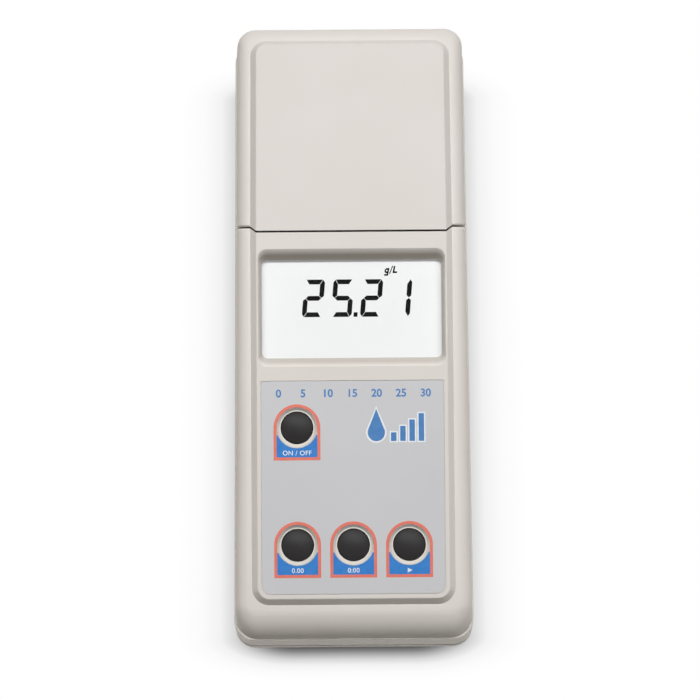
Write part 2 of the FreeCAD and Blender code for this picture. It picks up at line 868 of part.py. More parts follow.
def detector_screw_lines():
    reach = pad_size / 2 - detector_screw_edge
    return (cell_y - reach, cell_y + reach)


def make_detector_screws():
    x0 = pad_face + filter_thick + photocell_thick
    screws = []
    for y in detector_screw_lines():
        shank = rod(detector_screw_radius, x0 - filter_thick, x0 + board_thick, y, beam_height)
        head = rod(detector_screw_head, x0 + board_thick, x0 + 2 * board_thick, y, beam_height)
        screws.append(shank.fuse(head))
    return Part.makeCompound(screws)


def make_lamp_holder():
    half = pad_size / 2
    x1 = -pad_face
    block = box(
        x1 - lamp_holder_length, x1, cell_y - half, cell_y + half, beam_height - half, beam_height + half
    )
    return block.cut(rod(lamp_radius + lamp_clear, -far, 0, cell_y, beam_height))


def make_lamp():
    x0 = -pad_face - lamp_holder_length
    base = rod(lamp_base_radius, x0 - lamp_base_thick, x0, cell_y, beam_height)
    bulb = rod(lamp_radius, x0, x0 + lamp_length - lamp_radius, cell_y, beam_height)
    tip = Part.makeSphere(lamp_radius, Vec(x0 + lamp_length - lamp_radius, cell_y, beam_height))
    return base.fuse(bulb).fuse(tip)


# Display stack under the recess: window, liquid-crystal panel in its frame, contact strips
def display_edges(lap):
    half = panel_half - bezel_side - bezel_run_side + lap
    back = bezel_back + bezel_run_back - lap
    front = bezel_back + bezel_length - bezel_run_front + lap
    return half, back, front


window_under = -panel_wall - window_thick


def make_display_window():
    half, back, front = display_edges(window_lap)
    return face_box(half, back, front, window_under, -panel_wall)


def make_lcd_panel():
    half, back, front = display_edges(display_lap)
    top = window_under - display_gap
    return face_box(half, back, front, top - display_thick, top)


def make_lcd_frame():
    half, back, front = display_edges(display_lap + frame_clear)
    inner = face_box(half, back, front, -board_drop, window_under)
    outer_half = half + frame_wall
    outer = face_box(outer_half, back - frame_wall, front + frame_wall, -board_drop, window_under)
    return outer.cut(inner)


def make_lcd_contacts():
    half, back, front = display_edges(0.0)
    top = window_under - display_gap - display_thick
    strips = [
        face_box(half, along - contact_width / 2, along + contact_width / 2, -board_drop, top)
        for along in (back, front)
    ]
    return Part.makeCompound(strips)


def make_keypad_label():
    label = label_outline(0.0, -label_thick - label_sink, -label_sink)
    for x, along in keys.values():
        label = label.cut(disc(ring_radius + label_clear / 2, -panel_wall, cut_over, x, -along))
    return on_face(label)


def make_button(x, along):
    dome_radius = (key_radius ** 2 + key_dome ** 2) / (2 * key_dome)
    cap = disc(key_radius, flange_under, key_dome - key_edge, x, -along)
    ball = Part.makeSphere(dome_radius, Vec(x, -along, key_dome - key_edge - dome_radius))
    cap = cap.common(ball)
    flange = disc(key_hole + flange_lap, flange_under, flange_top, x, -along)
    stem = disc(stem_radius, stem_end, flange_under, x, -along)
    return on_face(cap.fuse(flange).fuse(stem))


def make_key_switches():
    switches = []
    for x, along in keys.values():
        half = switch_size / 2
        top = switch_height - board_drop
        body = box(x - half, x + half, -along - half, half - along, -board_drop, top)
        plunger = disc(plunger_radius, top, plunger_top, x, -along)
        switches.append(on_face(body.fuse(plunger)))
    return Part.makeCompound(switches)


def make_main_board():
    under = -board_drop - board_thick
    board = face_box(panel_half, board_back, panel_end - board_front_margin, under, -board_drop)
    for x, along in standoff_places():
        hole = board_screw_radius + thread_clear
        board = board.cut(face_disc(hole, under, -board_drop, x, along))
    return board


def make_board_parts():
    under = -board_drop - board_thick
    middle = (bezel_back + bezel_length / 2, row_along - key_pitch)
    half = chip_size / 2
    chip = on_face(box(-half, half, -middle[0] - half, half - middle[0], under - chip_height, under))
    side = socket_size / 2
    socket = on_face(box(-side, side, -middle[1] - side, side - middle[1], under - socket_height, under))
    can = face_disc(capacitor_radius, under - capacitor_height, under, key_pitch, middle[1])
    return Part.makeCompound([chip, socket, can])


def make_board_screws():
    under = -board_drop - board_thick
    screws = []
    for x, along in standoff_places():
        shank = disc(board_screw_radius, under, under + board_screw_length, x, -along)
        head = disc(board_screw_head, under - board_screw_head_height, under, x, -along)
        screws.append(on_face(shank.fuse(head)))
    return Part.makeCompound(screws)


def make_case_screws():
    head_top = case_screw_head_top
    screws = []
    for x, y in boss_places():
        head = disc(case_screw_head, head_top - case_screw_head_height, head_top, x, y)
        shank = disc(case_screw_radius, head_top, head_top + case_screw_length, x, y)
        screws.append(head.fuse(shank))
    return Part.makeCompound(screws)


def make_feet():
    return Part.makeCompound([disc(foot_radius, 0, foot_height + foot_sink, x, y) for x, y in foot_places()])


pieces = {
    "upper_case": make_upper_case,
    "lower_case": make_lower_case,
    "well_deck": make_well_deck,
    "deck_screws": make_deck_screws,
    "lid": make_lid,
    "hinge_pin": make_hinge_pin,
    "lid_foam": make_lid_foam,
    "battery_cover": make_battery_cover,
    "battery": make_battery,
    "battery_snap": make_battery_snap,
    "cell_holder": make_cell_holder,
    "well_collar": make_well_collar,
    "lamp_holder": make_lamp_holder,
    "lamp": make_lamp,
    "light_filter": make_light_filter,
    "photocell": make_photocell,
    "detector_board": make_detector_board,
    "detector_screws": make_detector_screws,
    "main_board": make_main_board,
    "board_parts": make_board_parts,
    "board_screws": make_board_screws,
    "key_switches": make_key_switches,
    "display_window": make_display_window,
    "lcd_panel": make_lcd_panel,
    "lcd_frame": make_lcd_frame,
    "lcd_contacts": make_lcd_contacts,
    "keypad_label": make_keypad_label,
    "case_screws": make_case_screws,
    "feet": make_feet,
}

os.makedirs("parts", exist_ok=True)
for name, make in pieces.items():
    shape = make()
    print(name, "valid" if shape.isValid() else "NOT VALID", len(shape.Solids), round(shape.Volume, 1))
    shape.exportStep("parts/%s.step" % name)
for name, place in keys.items():
    shape = make_button(*place)
    print(name, "valid" if shape.isValid() else "NOT VALID", len(shape.Solids), round(shape.Volume, 1))
    shape.exportStep("parts/%s.step" % name)
print("panel end", round(panel_end, 2), "row", round(row_along, 2), "well", round(cell_y, 2))
print("hinge", round(hinge_y, 3), hinge_z, "stem end", round(stem_end, 2))
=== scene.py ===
import bmesh
import bpy
import json
import math
from mathutils import Matrix, Vector


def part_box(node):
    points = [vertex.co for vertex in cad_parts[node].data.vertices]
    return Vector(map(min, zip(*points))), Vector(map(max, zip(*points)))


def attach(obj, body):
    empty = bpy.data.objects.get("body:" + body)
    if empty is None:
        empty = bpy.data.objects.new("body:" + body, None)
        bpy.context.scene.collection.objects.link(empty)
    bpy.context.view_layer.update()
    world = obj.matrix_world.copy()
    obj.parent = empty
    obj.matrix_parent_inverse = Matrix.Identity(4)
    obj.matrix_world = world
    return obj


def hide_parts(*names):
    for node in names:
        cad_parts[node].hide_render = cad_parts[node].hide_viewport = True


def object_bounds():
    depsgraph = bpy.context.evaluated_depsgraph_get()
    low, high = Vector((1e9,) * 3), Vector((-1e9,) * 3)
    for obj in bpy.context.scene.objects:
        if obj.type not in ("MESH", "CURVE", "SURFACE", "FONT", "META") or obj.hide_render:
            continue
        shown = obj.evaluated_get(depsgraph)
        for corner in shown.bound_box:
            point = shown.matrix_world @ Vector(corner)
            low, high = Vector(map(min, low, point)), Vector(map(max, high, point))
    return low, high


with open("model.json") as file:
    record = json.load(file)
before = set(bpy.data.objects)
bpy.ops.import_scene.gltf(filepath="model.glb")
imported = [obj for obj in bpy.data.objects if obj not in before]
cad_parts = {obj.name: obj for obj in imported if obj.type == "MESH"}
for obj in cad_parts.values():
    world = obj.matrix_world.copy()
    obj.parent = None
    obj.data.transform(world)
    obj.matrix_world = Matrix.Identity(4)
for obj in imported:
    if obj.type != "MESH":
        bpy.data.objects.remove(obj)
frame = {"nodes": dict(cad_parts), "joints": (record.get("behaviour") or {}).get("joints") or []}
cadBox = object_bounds()
nodes = frame["nodes"]
mm = 0.001
print("frame loaded:", len(nodes), "CAD nodes")

# the face's own axes: across, up the slope, and out of the face against the way the keys travel
pressAxis = next(Vector(j["axis"]) for j in frame["joints"] if j["name"] == "power_button_press")
faceOut = -pressAxis.normalized()
faceAcross = Vector((1, 0, 0))
faceUp = faceOut.cross(faceAcross)
keyNames = ("power_button", "left_button", "middle_button", "right_button")


def span(node, axis):
    reach = [v.co.dot(axis) for v in nodes[node].data.vertices]
    return min(reach), max(reach)


def middle(node, axis):
    return sum(span(node, axis)) / 2


def onFace(x, up, out):
    turn = Matrix((faceAcross, faceUp, faceOut)).transposed().to_4x4()
    return Matrix.Translation(faceAcross * x + faceUp * up + faceOut * out) @ turn


keyPlaces = {name: (middle(name, faceAcross), middle(name, faceUp)) for name in keyNames}
labelOut = span("keypad_label", faceOut)[1]
labelFront, labelBack = span("keypad_label", faceUp)
displayOut = span("lcd_panel", faceOut)[1]
displayUp = middle("lcd_panel", faceUp)


# node helpers

def linear(red, green, blue):
    def channel(value):
        value = value / 255
        return value / 12.92 if value <= 0.04045 else ((value + 0.055) / 1.055) ** 2.4
    return (channel(red), channel(green), channel(blue), 1.0)


def addNode(tree, kind, place=(0, 0), **values):
    node = tree.nodes.new(kind)
    node.location = place
    for name, value in values.items():
        if name in node.bl_rna.properties:
            setattr(node, name, value)
        else:
            node.inputs[name.replace("_", " ")].default_value = value
    return node


def newGroup(name, inputs, outputs):
    group = bpy.data.node_groups.new(name, "ShaderNodeTree")
    for label, kind, value in inputs:
        socket = group.interface.new_socket(label, in_out="INPUT", socket_type=kind)
        if value is not None:
            socket.default_value = value
    for label in outputs:
        group.interface.new_socket(label, in_out="OUTPUT", socket_type="NodeSocketFloat")
    start = addNode(group, "NodeGroupInput", (-800, 0))
    end = addNode(group, "NodeGroupOutput", (600, 0))
    return group, start, end


# grain of a spark-eroded mould, with a slow change of shade
def makeMouldGrain():
    group, start, end = newGroup(
        "mouldGrain",
        (("Vector", "NodeSocketVector", None), ("Grain", "NodeSocketFloat", 2600.0),
         ("Cloud", "NodeSocketFloat", 22.0)),
        ("Height", "Shade", "Speck"),
    )
    fine = addNode(group, "ShaderNodeTexNoise", (-500, 200), Detail=3.0, Roughness=0.65)
    cell = addNode(group, "ShaderNodeTexVoronoi", (-500, -60), feature="SMOOTH_F1", Smoothness=0.6)
    cloud = addNode(group, "ShaderNodeTexNoise", (-500, -320), Detail=4.0, Roughness=0.55)
    blend = addNode(group, "ShaderNodeMath", (-200, 100), operation="MULTIPLY_ADD")
    blend.inputs[1].default_value = 0.55
    shade = addNode(group, "ShaderNodeMapRange", (-200, -320), From_Min=0.3, From_Max=0.7)
    join = group.links.new
    for node in (fine, cell, cloud):
        join(start.outputs["Vector"], node.inputs["Vector"])
    join(start.outputs["Grain"], fine.inputs["Scale"])
    join(start.outputs["Grain"], cell.inputs["Scale"])
    join(start.outputs["Cloud"], cloud.inputs["Scale"])
    join(cell.outputs["Distance"], blend.inputs[0])
    join(fine.outputs["Fac"], blend.inputs[2])
    join(cloud.outputs["Fac"], shade.inputs["Value"])
    join(blend.outputs[0], end.inputs["Height"])
    join(shade.outputs["Result"], end.inputs["Shade"])
    join(fine.outputs["Fac"], end.inputs["Speck"])
    return group


hairScratch = dict(turns=(0.5, -1.1), stretch=(30, 1500, 60), full=0.85)


# sparse hair scratches from handling
def makeHandling():
    group, start, end = newGroup(
        "handling",
        (("Vector", "NodeSocketVector", None), ("Spread", "NodeSocketFloat", 0.70)),
        ("Scratch",),
    )
    streaks = []
    for turn, place in zip(hairScratch["turns"], (200, -100)):
        stretch = addNode(group, "ShaderNodeMapping", (-560, place))
        stretch.inputs["Rotation"].default_value = (0, 0, turn)
        stretch.inputs["Scale"].default_value = hairScratch["stretch"]
        noise = addNode(group, "ShaderNodeTexNoise", (-340, place), Scale=1.0, Detail=1.0)
        mask = addNode(group, "ShaderNodeMapRange", (-120, place), From_Max=hairScratch["full"])
        group.links.new(start.outputs["Vector"], stretch.inputs["Vector"])
        group.links.new(stretch.outputs["Vector"], noise.inputs["Vector"])
        group.links.new(noise.outputs["Fac"], mask.inputs["Value"])
        group.links.new(start.outputs["Spread"], mask.inputs["From Min"])
        streaks.append(mask)
    both = addNode(group, "ShaderNodeMath", (120, 60), operation="MAXIMUM")
    group.links.new(streaks[0].outputs["Result"], both.inputs[0])
    group.links.new(streaks[1].outputs["Result"], both.inputs[1])
    group.links.new(both.outputs[0], end.inputs["Scratch"])
    return group


# how far a point lies outside a rectangle with rounded corners; less than nothing inside it
def makeOutlineGap():
    group, start, end = newGroup(
        "outlineGap",
        (("Vector", "NodeSocketVector", None), ("Half", "NodeSocketVector", None),
         ("Round", "NodeSocketFloat", 0.0)),
        ("Gap",),
    )
    fold = addNode(group, "ShaderNodeVectorMath", (-600, 100), operation="ABSOLUTE")
    past = addNode(group, "ShaderNodeVectorMath", (-420, 100), operation="SUBTRACT")
    grown = addNode(group, "ShaderNodeVectorMath", (-240, 100), operation="ADD")
    flat = addNode(group, "ShaderNodeVectorMath", (-60, 200), operation="MULTIPLY")
    flat.inputs[1].default_value = (1, 1, 0)
    beyond = addNode(group, "ShaderNodeVectorMath", (120, 200), operation="MAXIMUM")
    reach = addNode(group, "ShaderNodeVectorMath", (300, 200), operation="LENGTH")
    parts = addNode(group, "ShaderNodeSeparateXYZ", (-60, -100))
    side = addNode(group, "ShaderNodeMath", (120, -100), operation="MAXIMUM")
    within = addNode(group, "ShaderNodeMath", (300, -100), operation="MINIMUM")
    within.inputs[1].default_value = 0.0
    both = addNode(group, "ShaderNodeMath", (480, 60), operation="ADD")
    gap = addNode(group, "ShaderNodeMath", (660, 60), operation="SUBTRACT")
    end.location = (840, 60)
    join = group.links.new
    join(start.outputs["Vector"], fold.inputs[0])
    join(fold.outputs[0], past.inputs[0])
    join(start.outputs["Half"], past.inputs[1])
    join(past.outputs[0], grown.inputs[0])
    join(start.outputs["Round"], grown.inputs[1])
    join(grown.outputs[0], flat.inputs[0])
    join(flat.outputs[0], beyond.inputs[0])
    join(beyond.outputs[0], reach.inputs[0])
    join(grown.outputs[0], parts.inputs[0])
    join(parts.outputs["X"], side.inputs[0])
    join(parts.outputs["Y"], side.inputs[1])
    join(side.outputs[0], within.inputs[0])
    join(reach.outputs["Value"], both.inputs[0])
    join(within.outputs[0], both.inputs[1])
    join(both.outputs[0], gap.inputs[0])
    join(start.outputs["Round"], gap.inputs[1])
    join(gap.outputs[0], end.inputs["Gap"])
    return group


mouldGrain = makeMouldGrain()
handling = makeHandling()
outlineGap = makeOutlineGap()


def placeGroup(tree, group, place, **values):
    node = addNode(tree, "ShaderNodeGroup", place, node_tree=group)
    for name, value in values.items():
        node.inputs[name].default_value = value
    return node


# a finish that varies between two shades, with grain in its height and scratches in its gloss
def surface(name, look):
    material = bpy.data.materials.new(name)
    material.use_nodes = True
    tree = material.node_tree
    shader = tree.nodes["Principled BSDF"]
    join = tree.links.new
    coords = addNode(tree, "ShaderNodeTexCoord", (-1100, 0))
    grain = placeGroup(tree, mouldGrain, (-860, 120), Grain=look["grain"], Cloud=look["cloud"])
    marks = placeGroup(tree, handling, (-860, -160), Spread=look["spread"])
    join(coords.outputs["Object"], grain.inputs["Vector"])
    join(coords.outputs["Object"], marks.inputs["Vector"])
    colour = addNode(tree, "ShaderNodeMix", (-540, 260), data_type="RGBA")
    colour.inputs["A"].default_value = linear(*look["shade"])
    colour.inputs["B"].default_value = linear(*look["tint"])
    join(grain.outputs["Shade"], colour.inputs["Factor"])
    join(colour.outputs["Result"], shader.inputs["Base Color"])
    gloss = addNode(tree, "ShaderNodeMapRange", (-540, 0))
    gloss.inputs["To Min"].default_value = look["rough"] - look["roughSpread"]
    gloss.inputs["To Max"].default_value = look["rough"] + look["roughSpread"]
    rub = addNode(tree, "ShaderNodeMath", (-320, -60), operation="MULTIPLY_ADD")
    rub.inputs[1].default_value = look["scratch"]
    join(grain.outputs["Speck"], gloss.inputs["Value"])
    join(marks.outputs["Scratch"], rub.inputs[0])
    join(gloss.outputs["Result"], rub.inputs[2])
    join(rub.outputs[0], shader.inputs["Roughness"])
    bump = addNode(tree, "ShaderNodeBump", (-320, -300), Strength=look["bump"], Distance=look["depth"] * mm)
    join(grain.outputs["Height"], bump.inputs["Height"])
    join(bump.outputs["Normal"], shader.inputs["Normal"])
    shader.inputs["Metallic"].default_value = look.get("metal", 0.0)
    shader.inputs["Specular IOR Level"].default_value = look.get("specular", 0.5)
    return material


plasticLook = dict(
    shade=(225, 219, 212), tint=(229, 224, 217), grain=2600.0, cloud=22.0, spread=0.72,
    rough=0.52, roughSpread=0.05, scratch=-0.08, bump=0.25, depth=0.03, specular=0.3,
)
casePlastic = surface("casePlastic", plasticLook)
# settings of the painted shade in the display recess
recessLook = dict(
    grow=2.0, edge=0.2, top=0.2, bottom=1.6, paintedShade=(0.44, 0.42, 0.39, 1.0), thin=0.5, upper=3.0)


# painted shade on the walls of the display recess, strongest under the upper edge
def dustRecess(material):
    tree = material.node_tree
    shader = tree.nodes["Principled BSDF"]
    plain = shader.inputs["Base Color"].links[0].from_socket
    coords = addNode(tree, "ShaderNodeTexCoord", (-1100, 700))
    lay = addNode(tree, "ShaderNodeMapping", (-900, 700))
    lay.inputs["Location"].default_value = (0, -middle("display_window", faceUp), -labelOut)
    lay.inputs["Rotation"].default_value = (-math.atan2(faceUp.z, faceUp.y), 0, 0)
    across, along = (span("display_window", axis) for axis in (faceAcross, faceUp))
    half = ((across[1] - across[0]) / 2, (along[1] - along[0]) / 2 + recessLook["grow"] * mm, 0)
    gap = placeGroup(tree, outlineGap, (-680, 800), Half=half)
    inside = addNode(tree, "ShaderNodeMapRange", (-460, 800))
    inside.inputs["From Min"].default_value = 0.0
    inside.inputs["From Max"].default_value = -recessLook["edge"] * mm
    parts = addNode(tree, "ShaderNodeSeparateXYZ", (-680, 560))
    deep = addNode(tree, "ShaderNodeMapRange", (-460, 560))
    deep.inputs["From Min"].default_value = -recessLook["top"] * mm
    deep.inputs["From Max"].default_value = -recessLook["bottom"] * mm
    thick = addNode(tree, "ShaderNodeMapRange", (-460, 320))
    thick.inputs["From Min"].default_value = half[1] - (recessLook["grow"] + recessLook["upper"]) * mm
    thick.inputs["From Max"].default_value = half[1] - recessLook["upper"] * mm
    thick.inputs["To Min"].default_value = recessLook["thin"]
    mask = addNode(tree, "ShaderNodeMath", (-260, 700), operation="MULTIPLY")
    shadeStrength = addNode(tree, "ShaderNodeMath", (-160, 560), operation="MULTIPLY")
    # multiplies the plain colour by the painted shade colour
    paintedShade = addNode(tree, "ShaderNodeMix", (-60, 500), data_type="RGBA", blend_type="MULTIPLY")
    paintedShade.inputs["B"].default_value = recessLook["paintedShade"]
    join = tree.links.new
    join(coords.outputs["Object"], lay.inputs["Vector"])
    join(lay.outputs["Vector"], gap.inputs["Vector"])
    join(gap.outputs["Gap"], inside.inputs["Value"])
    join(lay.outputs["Vector"], parts.inputs[0])
    join(parts.outputs["Z"], deep.inputs["Value"])
    join(inside.outputs["Result"], mask.inputs[0])
    join(deep.outputs["Result"], mask.inputs[1])
    join(parts.outputs["Y"], thick.inputs["Value"])
    join(mask.outputs[0], shadeStrength.inputs[0])
    join(thick.outputs["Result"], shadeStrength.inputs[1])
    join(shadeStrength.outputs[0], paintedShade.inputs["Factor"])
    join(plain, paintedShade.inputs["A"])
    join(paintedShade.outputs["Result"], shader.inputs["Base Color"])


# paints shade into the display recess of the case
dustRecess(casePlastic)
# painted shade: the lid's colour is set a little darker than the case's, to tone down the light on its top
lidPlastic = surface("lidPlastic", dict(plasticLook, shade=(214, 208, 202), tint=(217, 212, 207)))
basePlastic = surface("basePlastic", dict(plasticLook, shade=(212, 206, 198), tint=(217, 212, 205)))
blackPlastic = surface("blackPlastic", dict(
    plasticLook, shade=(30, 30, 31), tint=(38, 38, 39), grain=1900.0, rough=0.5, bump=0.35,
    specular=0.2))
keyRubber = surface("keyRubber", dict(
    plasticLook, shade=(38, 36, 37), tint=(44, 42, 43), grain=3400.0, cloud=260.0, rough=0.5,
    bump=0.12, depth=0.02, specular=0.2))
footRubber = surface("footRubber", dict(
    plasticLook, shade=(27, 27, 27), tint=(40, 40, 40), grain=1500.0, cloud=300.0, rough=0.75, bump=0.4))
labelFilm = surface("labelFilm", dict(
    plasticLook, shade=(208, 208, 210), tint=(211, 211, 213), grain=5200.0, cloud=30.0, spread=0.74,
    rough=0.42, roughSpread=0.04, scratch=-0.1, bump=0.12, depth=0.015))
inkLook = dict(
    plasticLook, grain=6000.0, cloud=400.0, rough=0.42, roughSpread=0.05, bump=0.08, depth=0.01)
redInk = surface("redInk", dict(inkLook, shade=(232, 122, 104), tint=(237, 131, 114)))
blueInk = surface("blueInk", dict(inkLook, shade=(48, 125, 204), tint=(60, 136, 212)))
headingInk = surface("headingInk", dict(inkLook, shade=(70, 126, 186), tint=(82, 136, 194)))
whiteInk = surface("whiteInk", dict(inkLook, shade=(238, 241, 245), tint=(246, 248, 250)))
segmentInk = surface("segmentInk", dict(
    inkLook, shade=(14, 13, 14), tint=(20, 19, 20), rough=0.8, specular=0.1))
steel = surface("steel", dict(
    plasticLook, shade=(168, 168, 170), tint=(190, 190, 191), grain=1800.0, rough=0.32, bump=0.1, metal=1.0))
boardGreen = surface("boardGreen", dict(
    plasticLook, shade=(22, 86, 48), tint=(36, 112, 66), grain=700.0, cloud=420.0, rough=0.35, bump=0.3))
batteryJacket = surface("batteryJacket", dict(
    plasticLook, shade=(52, 54, 60), tint=(64, 66, 72), grain=1200.0, rough=0.34, bump=0.1))
photocellFace = surface("photocellFace", dict(
    plasticLook, shade=(24, 20, 40), tint=(34, 28, 54), grain=900.0, rough=0.2, bump=0.05))


# open pores of a foam sheet
def makeFoam():
    look = dict(shade=(22, 22, 23), tint=(42, 42, 44), pore=900.0, rough=0.95, bump=0.9, depth=0.3)
    material = bpy.data.materials.new("lidFoam")
    material.use_nodes = True
    tree = material.node_tree
    shader = tree.nodes["Principled BSDF"]
    coords = addNode(tree, "ShaderNodeTexCoord", (-900, 0))
    pores = addNode(tree, "ShaderNodeTexVoronoi", (-680, 0), Scale=look["pore"])
    colour = addNode(tree, "ShaderNodeMix", (-380, 160), data_type="RGBA")
    colour.inputs["A"].default_value = linear(*look["tint"])
    colour.inputs["B"].default_value = linear(*look["shade"])
    bump = addNode(tree, "ShaderNodeBump", (-380, -160), Strength=look["bump"], Distance=look["depth"] * mm)
    tree.links.new(coords.outputs["Object"], pores.inputs["Vector"])
    tree.links.new(pores.outputs["Distance"], colour.inputs["Factor"])
    tree.links.new(pores.outputs["Distance"], bump.inputs["Height"])
    tree.links.new(colour.outputs["Result"], shader.inputs["Base Color"])
    tree.links.new(bump.outputs["Normal"], shader.inputs["Normal"])
    shader.inputs["Roughness"].default_value = look["rough"]
    return material


clearBend = 1.46


# clear pieces keep a plain transmission; only their gloss is cloudy
def clearPiece(name, look):
    material = bpy.data.materials.new(name)
    material.use_nodes = True
    tree = material.node_tree
    shader = tree.nodes["Principled BSDF"]
    coords = addNode(tree, "ShaderNodeTexCoord", (-900, 0))
    cloud = addNode(tree, "ShaderNodeTexNoise", (-680, 0), Scale=look["cloud"], Detail=3.0)
    gloss = addNode(tree, "ShaderNodeMapRange", (-420, 0))
    gloss.inputs["To Min"].default_value = look["rough"][0]
    gloss.inputs["To Max"].default_value = look["rough"][1]
    tree.links.new(coords.outputs["Object"], cloud.inputs["Vector"])
    tree.links.new(cloud.outputs["Fac"], gloss.inputs["Value"])
    tree.links.new(gloss.outputs["Result"], shader.inputs["Roughness"])
    shader.inputs["Base Color"].default_value = linear(*look["colour"])
    shader.inputs["Transmission Weight"].default_value = look["transmission"]
    shader.inputs["Alpha"].default_value = look["alpha"]
    shader.inputs["IOR"].default_value = clearBend
    return material


# pale panel behind the window, with a painted glow of its own so that it renders whiter
def makeDisplayWhite():
    look = dict(
        shade=(222, 223, 223), tint=(228, 229, 229), grain=3000.0, cloud=14.0, rough=0.45, paintedGlow=0.33)
    material = bpy.data.materials.new("displayWhite")
    material.use_nodes = True
    tree = material.node_tree
    shader = tree.nodes["Principled BSDF"]
    coords = addNode(tree, "ShaderNodeTexCoord", (-900, 0))
    grain = placeGroup(tree, mouldGrain, (-680, 0), Grain=look["grain"], Cloud=look["cloud"])
    colour = addNode(tree, "ShaderNodeMix", (-380, 100), data_type="RGBA")
    colour.inputs["A"].default_value = linear(*look["shade"])
    colour.inputs["B"].default_value = linear(*look["tint"])
    tree.links.new(coords.outputs["Object"], grain.inputs["Vector"])
    tree.links.new(grain.outputs["Shade"], colour.inputs["Factor"])
    tree.links.new(colour.outputs["Result"], shader.inputs["Base Color"])
    tree.links.new(colour.outputs["Result"], shader.inputs["Emission Color"])
    # painted glow: the panel gives off light in its own colour
    shader.inputs["Emission Strength"].default_value = look["paintedGlow"]
    shader.inputs["Roughness"].default_value = look["rough"]
    return material


lidFoam = makeFoam()
displayWhite = makeDisplayWhite()
windowClear = clearPiece("windowClear", dict(
    colour=(22, 24, 24), cloud=60.0, rough=(0.02, 0.07), transmission=0.0, alpha=0.03))
lampGlass = clearPiece("lampGlass", dict(
    colour=(250, 246, 232), cloud=80.0, rough=(0.02, 0.1), transmission=1.0, alpha=1.0))
filterGlass = clearPiece("filterGlass", dict(
    colour=(226, 128, 44), cloud=90.0, rough=(0.03, 0.1), transmission=1.0, alpha=1.0))

nodeFinish = {
    "upper_case": casePlastic, "lid": lidPlastic, "lower_case": basePlastic, "battery_cover": basePlastic,
    "keypad_label": labelFilm, "display_window": windowClear, "lcd_panel": displayWhite,
    "hinge_pin": steel, "board_screws": steel, "detector_screws": steel,
    "well_deck": blackPlastic, "cell_holder": blackPlastic, "lamp_holder": blackPlastic,
    "lcd_frame": blackPlastic, "key_switches": blackPlastic, "battery_snap": blackPlastic,
    "board_parts": blackPlastic, "lcd_contacts": footRubber, "main_board": boardGreen,
    "detector_board": boardGreen, "battery": batteryJacket, "lamp": lampGlass,
    "light_filter": filterGlass, "photocell": photocellFace,
}
for name, finish in nodeFinish.items():
    nodes[name].data.materials.clear()
    nodes[name].data.materials.append(finish)
print("finishes set on", len(nodeFinish), "CAD nodes")


# piece helpers

def finishPiece(name, bm, finish, body, place=None, sharp=35):
    if place:
        bmesh.ops.transform(bm, matrix=place, verts=bm.verts)
    mesh = bpy.data.meshes.new(name)
    bm.to_mesh(mesh)
    bm.free()
    mesh.polygons.foreach_set("use_smooth", [True] * len(mesh.polygons))
    mesh.set_sharp_from_angle(angle=math.radians(sharp))
    mesh.materials.append(finish)
    piece = bpy.data.objects.new(name, mesh)
    bpy.context.scene.collection.objects.link(piece)
    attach(piece, body)
    return piece


# turns an open profile round its own Z axis into a closed body
def lathe(bm, geom, steps):
    bmesh.ops.spin(
        bm, geom=geom, cent=(0, 0, 0), axis=(0, 0, 1), angle=math.tau, steps=steps, use_merge=True)
    bmesh.ops.remove_doubles(bm, verts=bm.verts, dist=1e-7)
    bmesh.ops.dissolve_degenerate(bm, edges=bm.edges, dist=1e-7)
    bmesh.ops.recalc_face_normals(bm, faces=bm.faces)


# an open line of radius and height, ready for the lathe
def profile(bm, points):
    verts = [bm.verts.new((r * mm, 0, z * mm)) for r, z in points]
    for pair in zip(verts, verts[1:]):
        bm.edges.new(pair)
    return verts


def soften(bm, edges, width, segments):
    bmesh.ops.bevel(
        bm, geom=edges, offset=width * mm, segments=segments, profile=0.5, affect="EDGES", material=-1)


def pushFaces(bm, faces, lift):
    pushed = bmesh.ops.extrude_face_region(bm, geom=faces)
    moved = [v for v in pushed["geom"] if isinstance(v, bmesh.types.BMVert)]
    bmesh.ops.translate(bm, vec=(0, 0, lift), verts=moved)


# a flat outline made into a thin film of ink
def inkFilm(bm, verts, thick):
    pushFaces(bm, [bm.faces.new(verts)], thick)
    bmesh.ops.recalc_face_normals(bm, faces=bm.faces)


# moves one bmesh into another
def addTo(bm, part):
    carrier = bpy.data.meshes.new("carrier")
    part.to_mesh(carrier)
    part.free()
    bm.from_mesh(carrier)
    bpy.data.meshes.remove(carrier)


capShare = 0.72  # height of a capital in the font's size


def wordsMesh(bm, words, capHeight, thick, spread=0.0, lean=0.0, weight=0.0):
    curve = bpy.data.curves.new("words", "FONT")
    curve.body = words
    curve.align_x = "CENTER"
    curve.align_y = "CENTER"
    curve.size = capHeight / capShare
    curve.space_character = 1.0 + spread
    curve.shear = lean
    curve.offset = weight
    curve.extrude = thick / 2
    holder = bpy.data.objects.new("words", curve)
    bpy.context.scene.collection.objects.link(holder)
    mesh = holder.evaluated_get(bpy.context.evaluated_depsgraph_get()).to_mesh()
    bm.from_mesh(mesh)
    bmesh.ops.translate(bm, vec=(0, 0, thick / 2), verts=bm.verts)
    holder.to_mesh_clear()
    bpy.data.objects.remove(holder)
    bpy.data.curves.remove(curve)


# keys: domed caps with a flange and a stem below the face

keyCap = dict(dome=1.5, rimRound=0.3, rimSteps=4, near=0.05, domeSteps=14, steps=64, flangeThick=1.2,
              stem=1.5, stemLeast=1.5)


# radius of a key's cap where its dome ends
def keyRadius(name, rim):
    x, up = keyPlaces[name]
    at = [v.co for v in nodes[name].data.vertices if abs(v.co.dot(faceOut) / mm - rim) < keyCap["near"]]
    return max(Vector((p.dot(faceAcross) - x, p.dot(faceUp) - up)).length for p in at) / mm


